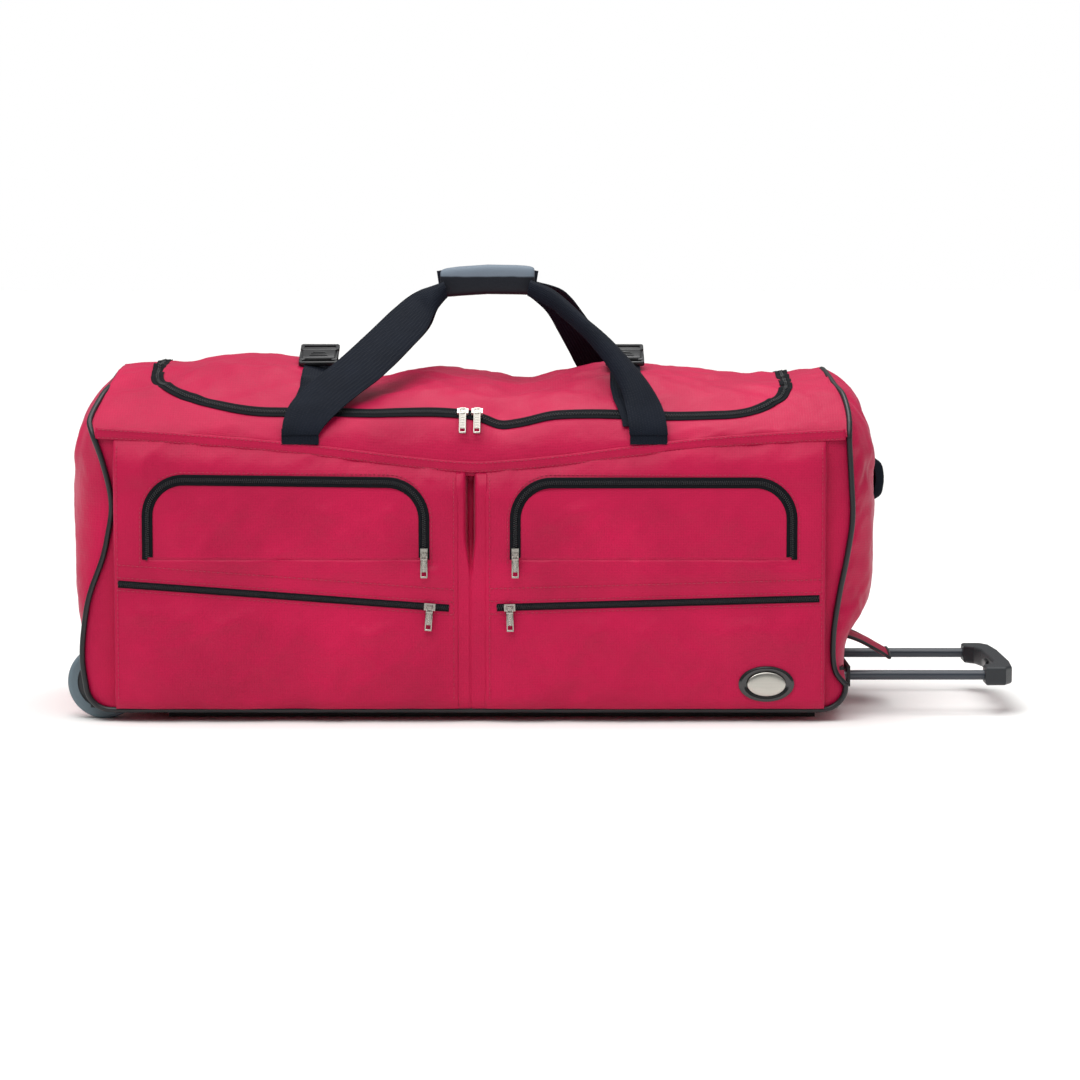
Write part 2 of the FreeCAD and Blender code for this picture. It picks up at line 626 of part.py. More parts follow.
BUCKLE_TURN = FreeCAD.Rotation(V(1, 0, 0), value("buckle_tilt"))
BUCKLE_Z = DOME_Z + " + sqrt(dome_r ^ 2 - buckle_y ^ 2) + buckle_lift"
sockets = []
plugs = []
for way in (-1, 1):
    tag = "buckle_%d" % (way + 1)
    half = "buckle_w / 2"
    shell = box(tag + "_shell", ("-" + half, half), ("0", "socket_l"), ("0", "buckle_h"))
    mid = "buckle_h / 2"
    mouth = box(
        tag + "_mouth",
        ("-prong_w / 2 - prong_gap", "prong_w / 2 + prong_gap"),
        ("socket_l - prong_l - prong_gap", "socket_l + 1"),
        (mid + " - prong_h / 2 - prong_gap", mid + " + prong_h / 2 + prong_gap"),
    )
    sockets.append(at(group(tag + "_socket", [cut(tag + "_hollow", shell, mouth)]),
                      "%d * strap_x" % way, "-buckle_y", BUCKLE_Z, BUCKLE_TURN))
    start = "(socket_l + buckle_gap)"
    body = box(tag + "_back", ("-" + half, half), (start, start + " + plug_l"),
               ("0", "buckle_h"))
    slot = box(tag + "_slot", ("-strap_w / 2 - 1", "strap_w / 2 + 1"),
               (start + " + plug_l - 10", start + " + plug_l - 5"), ("-1", "buckle_h + 1"))
    prongs = []
    for arm in (-1, 1):
        out = "%d * prong_w / 2" % arm
        inn = "%d * prong_w / 4" % arm
        span = (inn, out) if arm > 0 else (out, inn)
        prongs.append(box("%s_prong_%d" % (tag, arm + 1), span,
                          (start + " - prong_l", start + " + 2"),
                          (mid + " - prong_h / 2", mid + " + prong_h / 2")))
    whole = join(tag + "_plug_solid", [cut(tag + "_slotted", body, slot)] + prongs)
    plugs.append(at(group(tag + "_plug", [whole]), "%d * strap_x" % way, "-buckle_y",
                    BUCKLE_Z, BUCKLE_TURN))
node(group("socket_pair", sockets), "buckle_sockets")
node(group("plug_pair", plugs), "buckle_plugs")

# ---------------------------------------------------------------- badge and end grab handle


def oval(name, wide, tall, thick, x, y, z):
    """An upright elliptical plate; y is its rear face and it stands forward of it."""
    obj = doc.addObject("Part::Ellipse", name + "_rim")
    obj.setExpression("MajorRadius", ex(wide + " / 2"))
    obj.setExpression("MinorRadius", ex(tall + " / 2"))
    face = doc.addObject("Part::Face", name + "_face")
    face.Sources = [obj]
    solid = doc.addObject("Part::Extrusion", name + "_slab")
    solid.Base = face
    solid.DirMode = "Custom"
    solid.Dir = V(0, 0, 1)
    solid.setExpression("LengthFwd", ex(thick))
    solid.Solid = True
    carrier = group(name + "_carrier", [solid])
    return at(carrier, x, y, z, FreeCAD.Rotation(V(1, 0, 0), 90))


node(oval("badge", "badge_w", "badge_h", "badge_t", "badge_x", POCKET_FACE, "badge_z"),
     "badge_base")
node(oval("plate", "plate_w", "plate_h", "plate_t", "badge_x", POCKET_FACE + " - badge_t",
          "badge_z"), "badge_plate")

grab = new_body("grab")
grab_x = "(body_half + bulge)"
pad(grab, outline(grab, "XZ_Plane", [
    (grab_x, "grab_low - grab_tab"), (grab_x, "grab_high + grab_tab"),
    (grab_x + " + grab_t", "grab_high + grab_tab"), (grab_x + " + grab_t", "grab_high + grab_t"),
    (grab_x + " + grab_out", "grab_high - 12"), (grab_x + " + grab_out", "grab_low + 18"),
    (grab_x + " + grab_out / 2 + 4", "grab_low"), (grab_x + " + grab_t", "grab_low - grab_t"),
    (grab_x + " + grab_t", "grab_low - grab_tab"),
]), "grab_w")
grip_hole = outline(grab, "XZ_Plane", [
    (grab_x + " + grab_t", "grab_high - grab_t"),
    (grab_x + " + grab_out - grab_t", "grab_high - 12 - grab_t"),
    (grab_x + " + grab_out - grab_t", "grab_low + 18 + grab_t"),
    (grab_x + " + grab_out / 2", "grab_low + grab_t"), (grab_x + " + grab_t", "grab_low + grab_t"),
])
pocket(grab, grip_hole, "grab_w * 2")
node(grab, "end_grab_handle")

# ---------------------------------------------------------------- wheels
houses = []
axles = []
for side, tag in ((-1, "front"), (1, "back")):
    middle = "%d * wheel_y" % side
    half = "house_w / 2"
    block = box(tag + "_house_block", ("-house_left", "-house_right"),
                (middle + " - " + half, middle + " + " + half), ("body_base", "house_top"))
    room = "(tyre_w + 2 * side_clear)"
    well = rod(tag + "_well", AXIS_Y, "wheel_r + wheel_clear", room, "-wheel_x",
               middle + " - %s / 2" % room, "wheel_r")
    shell = cut(tag + "_house_shell", block, well)
    bore = rod(tag + "_axle_bore", AXIS_Y, "axle_r", "house_w + 10", "-wheel_x",
               middle + " - house_w / 2 - 5", "wheel_r")
    houses.append(cut(tag + "_house", shell, bore))
    axles.append(rod(tag + "_axle", AXIS_Y, "axle_r", "axle_l", "-wheel_x",
                     middle + " - axle_l / 2", "wheel_r"))
    hub = new_body(tag + "_hub")
    pad(hub, circle(hub, "XZ_Plane", "hub_r"), "hub_w")
    pocket(hub, circle(hub, "XZ_Plane", "axle_r + axle_clear"), "hub_w * 2")
    hole = pocket(hub, circle(hub, "XZ_Plane", "spoke_hole_r", "spoke_ring_r"), "hub_w * 2")
    ring = hub.newObject("PartDesign::PolarPattern", tag + "_hub_ring")
    ring.Originals = [hole]
    ring.Axis = (plane(hub, "Y_Axis"), [""])
    ring.Angle = 360
    ring.Occurrences = 6
    hub.Tip = ring
    at(hub, "-wheel_x", middle, "wheel_r")
    node(hub, tag + "_wheel_hub")
    tyre = new_body(tag + "_tyre_body")
    pad(tyre, circle(tyre, "XZ_Plane", "wheel_r"), "tyre_w")
    pocket(tyre, circle(tyre, "XZ_Plane", "hub_r"), "tyre_w * 2")
    edges = tyre.newObject("PartDesign::Fillet", tag + "_tyre_round")
    doc.recompute()
    rims = [
        "Edge%d" % i for i, e in enumerate(tyre.Shape.Edges, start=1)
        if e.BoundBox.YLength < 0.1 and abs(e.BoundBox.XLength / 2 - value("wheel_r")) < 0.1
    ]
    edges.Base = (tyre.Group[-2], rims)
    edges.setExpression("Radius", ex("tyre_w / 4"))
    tyre.Tip = edges
    at(tyre, "-wheel_x", middle, "wheel_r")
    node(tyre, tag + "_tyre")
node(group("house_pair", houses), "wheel_housings")
node(group("axle_pair", axles), "wheel_axles")

# ---------------------------------------------------------------- base board and runners
node(box("board", ("-house_right + well_clear + 2", "body_half - wall - 4"),
         ("-body_y + wall + 6", "body_y - wall - 6"), ("board_z", "board_z + board_t")),
     "base_board")
rails = []
for way in (-1, 0, 1):
    middle = "%d * runner_y" % way
    rail = box("rail_%d" % (way + 1), ("-runner_left", "runner_right - corner_r"),
               (middle + " - runner_w / 2", middle + " + runner_w / 2"), ("0", "body_base"))
    rails.append(rail)
node(group("rail_group", rails), "skid_runners")

# ---------------------------------------------------------------- trolley handle
mouth_holes = []
for side, tag in ((-1, "front"), (1, "back")):
    middle = "%d * tube_y" % side
    length = "outer_left + body_half"
    outer = rod(tag + "_outer", AXIS_X, "outer_r", length, "-outer_left", middle, "tube_z")
    inner = rod(tag + "_outer_bore", AXIS_X, "tube_r + tube_clear", length + " + 2",
                "-outer_left - 1", middle, "tube_z")
    node(cut(tag + "_outer_tube_cut", outer, inner), "outer_tube_" + tag)
    reach = "grip_x + socket_deep - inner_left"
    skin = rod(tag + "_inner", AXIS_X, "tube_r", reach, "inner_left", middle, "tube_z")
    core = rod(tag + "_inner_bore", AXIS_X, "tube_r - tube_wall", reach + " + 2",
               "inner_left - 1", middle, "tube_z")
    node(cut(tag + "_inner_tube_cut", skin, core), "inner_tube_" + tag)
    mouth_holes.append(rod(tag + "_mouth_hole", AXIS_X, "tube_r + mouth_hole", "mouth_t + 4",
                           "body_half - 2", middle, "tube_z"))
mouth = box("mouth_plate", ("body_half", "body_half + mouth_t"),
            ("-tube_y - mouth_over", "tube_y + mouth_over"),
            ("tube_z - mouth_h / 2", "tube_z + mouth_h / 2"))
node(cut("mouth_cut", mouth, join("mouth_holes", mouth_holes)), "tube_mouth_plate")

grip = new_body("grip")
block_y = "(tube_y + grip_block / 2)"
inner_y_grip = "(tube_y - grip_block / 2)"
pad(grip, outline(grip, "XY_Plane", [
    ("grip_x", "-" + block_y), ("grip_x + grip_end", "-" + block_y),
    ("grip_x + grip_bow - 4", "-tube_y + 4"), ("grip_x + grip_bow", "-tube_y / 2"),
    ("grip_x + grip_bow", "tube_y / 2"), ("grip_x + grip_bow - 4", "tube_y - 4"),
    ("grip_x + grip_end", block_y), ("grip_x", block_y), ("grip_x", inner_y_grip),
    ("grip_x + grip_bow - bar_w - 6", "tube_y - grip_block"),
    ("grip_x + grip_bow - bar_w", "tube_y / 2"), ("grip_x + grip_bow - bar_w", "-tube_y / 2"),
    ("grip_x + grip_bow - bar_w - 6", "-tube_y + grip_block"), ("grip_x", "-" + inner_y_grip),
]), "grip_tall")
at(grip, "0", "0", "tube_z")


def rim_edge(edge):
    flat = edge.BoundBox
    level = abs(flat.ZMax - flat.ZMin) < 0.1
    return level


soft_grip = round_edges(grip, "grip_soft", "grip_round", rim_edge)
tube_seats = [
    rod("grip_seat_%d" % (s + 1), AXIS_X, "tube_r", "socket_deep + 2", "grip_x - 2",
        "%d * tube_y" % s, "tube_z")
    for s in (-1, 1)
]
button_bay = box("button_bay", ("grip_x + grip_bow - bar_w - 2",
                                "grip_x + grip_bow - bar_w + button_deep + button_out + 1"),
                 ("-button_l / 2 - button_gap", "button_l / 2 + button_gap"),
                 ("tube_z - button_h / 2 - button_gap", "tube_z + button_h / 2 + button_gap"))
node(cut("grip_bored", soft_grip, join("grip_voids", tube_seats + [button_bay])),
     "trolley_grip")
node(box("button", ("grip_x + grip_bow - bar_w - button_out",
                    "grip_x + grip_bow - bar_w + button_deep"),
         ("-button_l / 2", "button_l / 2"), ("tube_z - button_h / 2", "tube_z + button_h / 2")),
     "release_button")

# ---------------------------------------------------------------- handle cover flap
cover = new_body("cover")
cover_x = "(body_half + cover_gap)"
pad(cover, outline(cover, "XZ_Plane", [
    (cover_x, "cover_z"), (cover_x + " + cover_l", "cover_z - cover_drop"),
    (cover_x + " + cover_l", "cover_z - cover_drop - cover_tip_t"),
    (cover_x, "cover_z - cover_root_t"),
]), "cover_w")
node(cover, "handle_cover_flap")

# ---------------------------------------------------------------- check and write
doc.recompute()
for obj in doc.Objects:
    if "Invalid" in obj.State or "Error" in obj.State:
        raise RuntimeError("%s failed: %s" % (obj.Name, obj.State))
for obj in nodes:
    if obj.Shape.isNull() or not obj.Shape.isValid() or not obj.Shape.Solids:
        raise RuntimeError("%s has no valid solid" % obj.Label)
os.makedirs("parts", exist_ok=True)
for obj in nodes:
    obj.Shape.exportStep("parts/%s.step" % obj.Label)
print("%d nodes written" % len(nodes))
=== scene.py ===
"""Rolling duffel bag: the sewn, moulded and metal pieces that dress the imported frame.

Lengths inside the shape functions are millimetres; every mesh is written in metres.
+X is the trolley end, -Y the pocket side, +Z up, and the floor is z = 0.
"""

import json
import math

import bmesh
import bpy
import numpy as np
from mathutils import Matrix, Vector, noise

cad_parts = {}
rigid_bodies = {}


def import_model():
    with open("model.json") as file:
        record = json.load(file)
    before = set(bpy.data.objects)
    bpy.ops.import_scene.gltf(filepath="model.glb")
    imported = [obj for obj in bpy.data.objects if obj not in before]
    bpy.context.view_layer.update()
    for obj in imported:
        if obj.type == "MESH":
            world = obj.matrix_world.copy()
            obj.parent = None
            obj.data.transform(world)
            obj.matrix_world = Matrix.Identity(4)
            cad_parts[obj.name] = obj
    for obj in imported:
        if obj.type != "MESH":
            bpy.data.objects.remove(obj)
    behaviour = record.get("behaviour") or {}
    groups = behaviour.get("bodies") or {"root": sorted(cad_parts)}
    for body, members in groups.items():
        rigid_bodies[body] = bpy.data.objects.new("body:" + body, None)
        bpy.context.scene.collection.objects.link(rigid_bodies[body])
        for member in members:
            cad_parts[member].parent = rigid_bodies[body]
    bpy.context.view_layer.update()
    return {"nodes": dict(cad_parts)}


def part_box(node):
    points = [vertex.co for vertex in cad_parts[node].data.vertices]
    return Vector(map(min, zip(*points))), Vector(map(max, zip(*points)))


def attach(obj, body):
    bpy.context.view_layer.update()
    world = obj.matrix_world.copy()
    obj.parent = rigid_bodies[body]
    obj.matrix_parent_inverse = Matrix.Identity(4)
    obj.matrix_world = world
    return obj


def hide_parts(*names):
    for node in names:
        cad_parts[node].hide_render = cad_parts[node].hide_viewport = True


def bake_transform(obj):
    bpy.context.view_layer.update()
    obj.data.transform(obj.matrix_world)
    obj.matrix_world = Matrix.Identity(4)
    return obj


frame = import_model()

bl_info = {
    "name": "Rolling duffel bag",
    "version": (1, 0, 0),
    "blender": (4, 5, 0),
    "location": "View3D > Sidebar > Duffel",
    "description": "Sews and fits out a wheeled duffel bag round its packed frame",
    "category": "Add Mesh",
}

MM = 0.001
QUARTER_STEPS = 12  # parts of each round corner of a pocket flap


# ---------------------------------------------------------------- sizes and colours
def length(label, note, default):
    return bpy.props.FloatProperty(
        name=label, description=note, default=default, min=0.0, unit="LENGTH", precision=4
    )


def colour(label, note, code):
    return bpy.props.FloatVectorProperty(
        name=label, description=note, default=linear(code), min=0.0, max=1.0, size=3, subtype="COLOR"
    )


def linear(code):
    """An sRGB hex code as linear red, green and blue."""
    parts = [int(code[i : i + 2], 16) / 255 for i in (1, 3, 5)]
    return tuple(c / 12.92 if c <= 0.04045 else ((c + 0.055) / 1.055) ** 2.4 for c in parts)


class DuffelSizes(bpy.types.PropertyGroup):
    cloth: length("Cloth", "Thickness of the bag fabric", 0.0011)
    mesh_step: length("Cloth grid", "Spacing of the cloth's grid before it is smoothed", 0.0068)
    piping: length("Piping radius", "Radius of the corded edge", 0.0036)
    tape: length("Zip tape", "Width of one side of a pocket zip", 0.0068)
    tooth: length("Tooth pitch", "Spacing of the zip coil's teeth", 0.0026)
    stitch: length("Stitch pitch", "Spacing of the topstitches", 0.0056)
    webbing: length("Webbing", "Thickness of the carry webbing", 0.0026)
    ease: bpy.props.FloatProperty(
        name="Ease", description="Spare cloth sewn into each panel", default=0.045, min=0, max=0.2
    )
    camera_distance: length("Camera distance", "How far in front of the bag the camera stands", 4.3)


class DuffelColours(bpy.types.PropertyGroup):
    fabric: colour("Fabric", "Crimson polyester", "#B40E42")
    thread: colour("Thread", "Sewing thread", "#A8183F")
    webbing: colour("Webbing", "Carry webbing", "#10151F")
    zips: colour("Zips", "Zip tape and coil", "#0D0F14")
    metal: colour("Zip metal", "Nickel-plated pulls and sliders", "#A39F98")
    plastic: colour("Plastic", "Moulded black parts", "#101114")
    wrap: colour("Wrap", "Grip wrap", "#6C7884")
    tube: colour("Tubes", "Painted trolley tubes", "#232B36")
    tyre: colour("Tyre", "Wheel tread", "#5E6E76")
    floor: colour("Floor", "Studio floor", "#F4F4F2")


# ---------------------------------------------------------------- the bag's outline, in mm
DOME_R = 258.4
DOME_Z = 181.6  # height of the dome's axis
WALL_Y = 180.0
BASE_Z = 15.0
CORNER_R = 32.0
HALF_SPAN = 470.0  # half the length that the front, back and crown grids span
CUT_HIGH = 330.0  # height of the flat cut of a wall
SEWN = 1.0  # cloth within this of the hinge line belongs to the lid's seam
WHEEL_Y, WELL_HALF, WELL_TOP = 145, 25, 106  # the wells in the left end
END_CUT = 425  # height of the flat cut of an end panel
STRAP_X = 197  # the lid straps, either side of the middle
BUCKLE_TILT = math.radians(21)
LID_X = 402.0
LID_ARC = 160.05  # arc from the crest to y = 150
FRONT_ARC = 66.0  # arc from there down to the top seam
ZIP_ARC = 167.5  # arc from the crest to the main zip's centre line
LID_CORNERS = {-1: (150.0, 92.0), 1: (84.0, 74.0)}  # half-widths of the lid's round corners, left and right

LEFT_EDGE = [
    (46, -484), (75, -488), (107, -487), (157, -479), (207, -461), (232, -455),
    (275, -449), (325, -459), (360, -471), (378, -477), (402, -469), (424, -459), (442, -453),
]
RIGHT_EDGE = [
    (46, 474), (62, 460), (106, 457), (160, 464), (206, 473), (256, 480), (306, 478),
    (359, 475), (385, 476), (408, 472), (425, 463), (442, 455),
]
LEFT_MIDDLE = [
    (46, -481), (75, -484), (104, -487), (135, -498), (175, -505), (230, -509), (300, -511),
    (350, -508), (385, -498), (412, -482), (430, -464), (442, -453),
]
RIGHT_MIDDLE = [
    (46, 479), (75, 480), (98, 483), (120, 491), (150, 503), (190, 508), (236, 508), (352, 508),
    (383, 500), (408, 489), (428, 470), (442, 455),
]
TOP_SEAM = [
    (-480, 361), (-444, 359), (-340, 352), (-205, 340), (-90, 326), (0, 318), (60, 321),
    (113, 326), (200, 337), (288, 347), (380, 354), (480, 359),
]
BACK_SEAM = [(-480, 358), (-200, 350), (0, 345), (200, 349), (480, 358)]
CREST = [
    (-480, 0), (-400, 4), (-330, 10), (-255, 15), (-190, 3), (-127, -15), (-85, -8), (-42, -1),
    (10, -9), (62, -18), (110, -8), (166, 2), (218, 2), (300, -6), (388, -12), (440, -4), (480, 0),
]
ZIP_LINE = [
    (-400, 0), (-335, 3), (-250, 0), (-150, 3), (-60, 3), (0, 0), (18, -5), (38, -12),
    (62, -9), (110, 0), (250, -3), (335, 0), (400, 0),
]


def follow(table, at):
    """A smooth curve through a table of (place, value) pairs."""
    if at <= table[0][0]:
        return float(table[0][1])
    if at >= table[-1][0]:
        return float(table[-1][1])
    k = max(i for i in range(len(table) - 1) if table[i][0] <= at)
    (x0, y0), (x1, y1) = table[k], table[k + 1]

    def slope(i):
        low, high = table[max(i - 1, 0)], table[min(i + 1, len(table) - 1)]
        return (high[1] - low[1]) / (high[0] - low[0])

    step = x1 - x0
    t = (at - x0) / step
    m0, m1 = slope(k) * step, slope(k + 1) * step
    return (
        (2 * t**3 - 3 * t**2 + 1) * y0
        + (t**3 - 2 * t**2 + t) * m0
        + (3 * t**2 - 2 * t**3) * y1
        + (t**3 - t**2) * m1
    )


def rise(t):
    """0 to 1, smooth at both ends."""
    t = min(1.0, max(0.0, t))
    return t * t * (3 - 2 * t)


def bump(at, middle, width):
    return math.exp(-(((at - middle) / width) ** 2))


def base_turn(z):
    """How far the rounded base corner draws the side in, at height z."""
    down = max(0.0, BASE_Z + CORNER_R - z)
    down = min(down, CORNER_R)
    return CORNER_R - math.sqrt(max(0.0, CORNER_R**2 - down**2))


def left_edge(z):
    return follow(LEFT_EDGE, z) + base_turn(z)


def right_edge(z):
    return follow(RIGHT_EDGE, z) - base_turn(z)


def left_middle(z):
    return follow(LEFT_MIDDLE, z) + base_turn(z)


def right_middle(z):
    return follow(RIGHT_MIDDLE, z) - base_turn(z)


def ripple(a, b, size, seed=0.0):
    """Soft seeded unevenness, -1 to 1, with features about `size` mm across."""
    return noise.noise(Vector((a / size, b / size, seed)))


def crease(a, b, angle, run, gap, seed):
    """Sharp-topped folds running at an angle, 0 to 1: `run` mm long and `gap` mm apart."""
    c, s = math.cos(math.radians(angle)), math.sin(math.radians(angle))
    n = noise.noise(Vector(((a * c + b * s) / run, (b * c - a * s) / gap, seed)))
    return max(0.0, 1 - 2.6 * abs(n)) ** 1.6


def crown_profile(x, b):
    """(y, z) on the dome at arc b from the crest, before it sags; negative b is the front."""
    side = -1.0 if b < 0 else 1.0
    arc = abs(b)
    if arc <= LID_ARC:
        return side * DOME_R * math.sin(arc / DOME_R), DOME_Z + DOME_R * math.cos(arc / DOME_R)
    t = min(1.0, (arc - LID_ARC) / FRONT_ARC)
    seam = follow(TOP_SEAM if side < 0 else BACK_SEAM, x)
    out = WALL_Y + 3.0
    y = (1 - t) ** 2 * 150 + 2 * t * (1 - t) * 181 + t**2 * out
    z = (1 - t) ** 2 * 392 + 2 * t * (1 - t) * 369.9 + t**2 * seam
    return side * y, z


def crown_skin(x, b, soft=1.0):
    """A point on the top of the bag, in mm."""
    y, z = crown_profile(x, b)
    top = math.cos(min(1.0, abs(b) / 200.0) * math.pi / 2) ** 1.4
    ends = rise((482 - abs(x)) / 45)
    zip_near = bump(b, -ZIP_ARC, 34)
    z += follow(CREST, x) * top
    z += follow(ZIP_LINE, x) * zip_near * (1 - top * 0.4)
    quiet = rise((abs(b + ZIP_ARC) - 6) / 40) * ends
    z += soft * quiet * (5.0 * ripple(x, b, 95, 3.1) + 2.2 * ripple(x + b, b - x * 0.4, 42, 7.7))
    fold = crease(x, b, 24, 120, 34, 2.2) + 0.8 * crease(x, b, -38, 90, 30, 5.9)
    z += soft * quiet * 3.6 * fold * rise((abs(b + 20)) / 50 + 0.4)
    return Vector((x, y, z))


def crown_height(x, b):
    return crown_profile(x, b)[1]


def crown_line(x, b):
    """Point and outward normal on the top of the bag."""
    here = crown_skin(x, b)
    along = crown_skin(x + 2, b) - crown_skin(x - 2, b)
    across = crown_skin(x, b + 2) - crown_skin(x, b - 2)
    return here, along.cross(across).normalized()


# pockets
POCKET_FACE = 196.0
POCKET_LOW = 17.0
POCKETS = {"left": (-446.0, -15.0), "right": (20.0, 446.0)}
FLAP_IN, FLAP_OUT, FLAP_LOW, FLAP_TOP, FLAP_CORNER = 57.0, 403.0, 206.6, 303.0, 46.0
BADGE_X, BADGE_Z = 372.0, 50.0
LOW_ZIPS = {"left": ((-440, 176), (-26, 145.6)), "right": ((34, 146.4), (438, 157.6))}


def low_zip_height(side, x):
    (xa, za), (xb, zb) = LOW_ZIPS[side]
    return za + (zb - za) * (x - xa) / (xb - xa)


def arch(side, inset=0.0, low=FLAP_LOW, step=3.0):
    """The pocket flap's rounded arch, from its outer foot to its inner foot, as (x, z) points."""
    sign = -1 if side == "left" else 1
    x_in, x_out = FLAP_IN + inset, FLAP_OUT - inset
    top, r = FLAP_TOP - inset, FLAP_CORNER - inset
    points = [(x_out, z) for z in np.arange(low, top - r, step)]
    for k in range(QUARTER_STEPS + 1):
        turn = math.radians(90 * k / QUARTER_STEPS)
        points.append((x_out - r + r * math.cos(turn), top - r + r * math.sin(turn)))
    points += [(x, top) for x in np.arange(x_out - r - step, x_in + r, -step)]
    for k in range(QUARTER_STEPS + 1):
        turn = math.radians(90 + 90 * k / QUARTER_STEPS)
        points.append((x_in + r + r * math.cos(turn), top - r + r * math.sin(turn)))
    points += [(x_in, z) for z in np.arange(top - r - step, low - 0.1, -step)] + [(x_in, low)]
    lean = 4.0 if side == "left" else 0.0
    return [(sign * x, z + lean * rise((z - low) / 60) * (x - x_in) / (x_out - x_in)) for x, z in points]


def inside_arch(side, x, z, inset=0.0):
    sign = -1 if side == "left" else 1
    a = sign * x
    if z < FLAP_LOW or not FLAP_IN + inset < a < FLAP_OUT - inset:
        return False
    lean = 4.0 if side == "left" else 0.0
    h = z - lean * rise((z - FLAP_LOW) / 60) * (a - FLAP_IN) / (FLAP_OUT - FLAP_IN)
    top, r = FLAP_TOP - inset, FLAP_CORNER - inset
    if h > top:
        return False
    near, far = FLAP_IN + inset + r, FLAP_OUT - inset - r
    for middle, beyond in ((near, a < near), (far, a > far)):
        if beyond and h > top - r:
            return math.hypot(a - middle, h - (top - r)) < r
    return True


def pocket_skin(side, x, z, soft=1.0):
    """A point on a pocket's face, in mm: flat by the zips, fuller between them."""
    x0, x1 = POCKETS[side]
    seam = follow(TOP_SEAM, x)
    depth = (POCKET_FACE - WALL_Y) * math.sin(min(1, max(0, (seam - z) / 40)) * math.pi / 2) ** 0.8
    depth *= math.sin(min(1, max(0, (z - POCKET_LOW + 3) / 15)) * math.pi / 2) ** 0.8
    zip_z = low_zip_height(side, x)
    sign = -1 if side == "left" else 1
    gap_low = (zip_z - z) if z < zip_z else (z - zip_z)
    calm = rise((gap_low - 7) / 34)
    around = min(abs(sign * x - FLAP_IN), abs(sign * x - FLAP_OUT)) if z < FLAP_TOP else 90
    over = abs(z - FLAP_TOP)
    reach = min(around if FLAP_LOW - 12 < z else 90, over if FLAP_IN < sign * x < FLAP_OUT else 90)
    calm *= rise((reach - 7) / 34)
    calm *= rise((math.hypot((x - BADGE_X) / 1.3, z - BADGE_Z) - 27) / 40)
    edge = rise(min(x - x0, x1 - x) / 40)
    full = 3.2 if z < zip_z else 2.2
    swell = full * calm * edge * rise((seam - z) / 60) * rise((z - POCKET_LOW) / 40)
    swell += soft * calm * edge * (2.6 * ripple(x + 0.5 * z, z - 0.4 * x, 70, 1.3) + 1.0 * ripple(x, z, 26, 5.2))
    swell += soft * calm * edge * 2.6 * (crease(x, z, 34, 110, 36, 1.7) + 0.7 * crease(x, z, -52, 80, 30, 4.1))
    return Vector((x, -(WALL_Y + max(0.3, depth + swell)), z))


# ---------------------------------------------------------------- tools for making pieces
def clear_selection():
    if bpy.context.mode != "OBJECT":
        bpy.ops.object.mode_set(mode="OBJECT")
    for ob in bpy.context.view_layer.objects:
        ob.select_set(False)
    bpy.context.view_layer.objects.active = None


def pick(ob):
    clear_selection()
    ob.select_set(True)
    bpy.context.view_layer.objects.active = ob


def named(name):
    ob = bpy.context.active_object
    ob.name = ob.data.name = name
    return ob


def apply_all(ob):
    pick(ob)
    for modifier in list(ob.modifiers):
        bpy.ops.object.modifier_apply(modifier=modifier.name)


def smooth(ob, angle=None):
    pick(ob)
    if angle is None:
        bpy.ops.object.shade_smooth()
    else:
        bpy.ops.object.shade_smooth_by_angle(angle=math.radians(angle))


def edit(ob, work):
    """Run work(bmesh) on the mesh."""
    mesh = bmesh.new()
    mesh.from_mesh(ob.data)
    work(mesh)
    mesh.to_mesh(ob.data)
    mesh.free()


def join(name, pieces):
    clear_selection()
    for piece in pieces:
        piece.select_set(True)
    bpy.context.view_layer.objects.active = pieces[0]
    if len(pieces) > 1:
        bpy.ops.object.join()
    return named(name)


def steps(low, high, size):
    """Evenly spaced values from low to high, about `size` apart."""
    count = max(1, round(abs(high - low) / size))
    return [low + (high - low) * k / count for k in range(count + 1)]


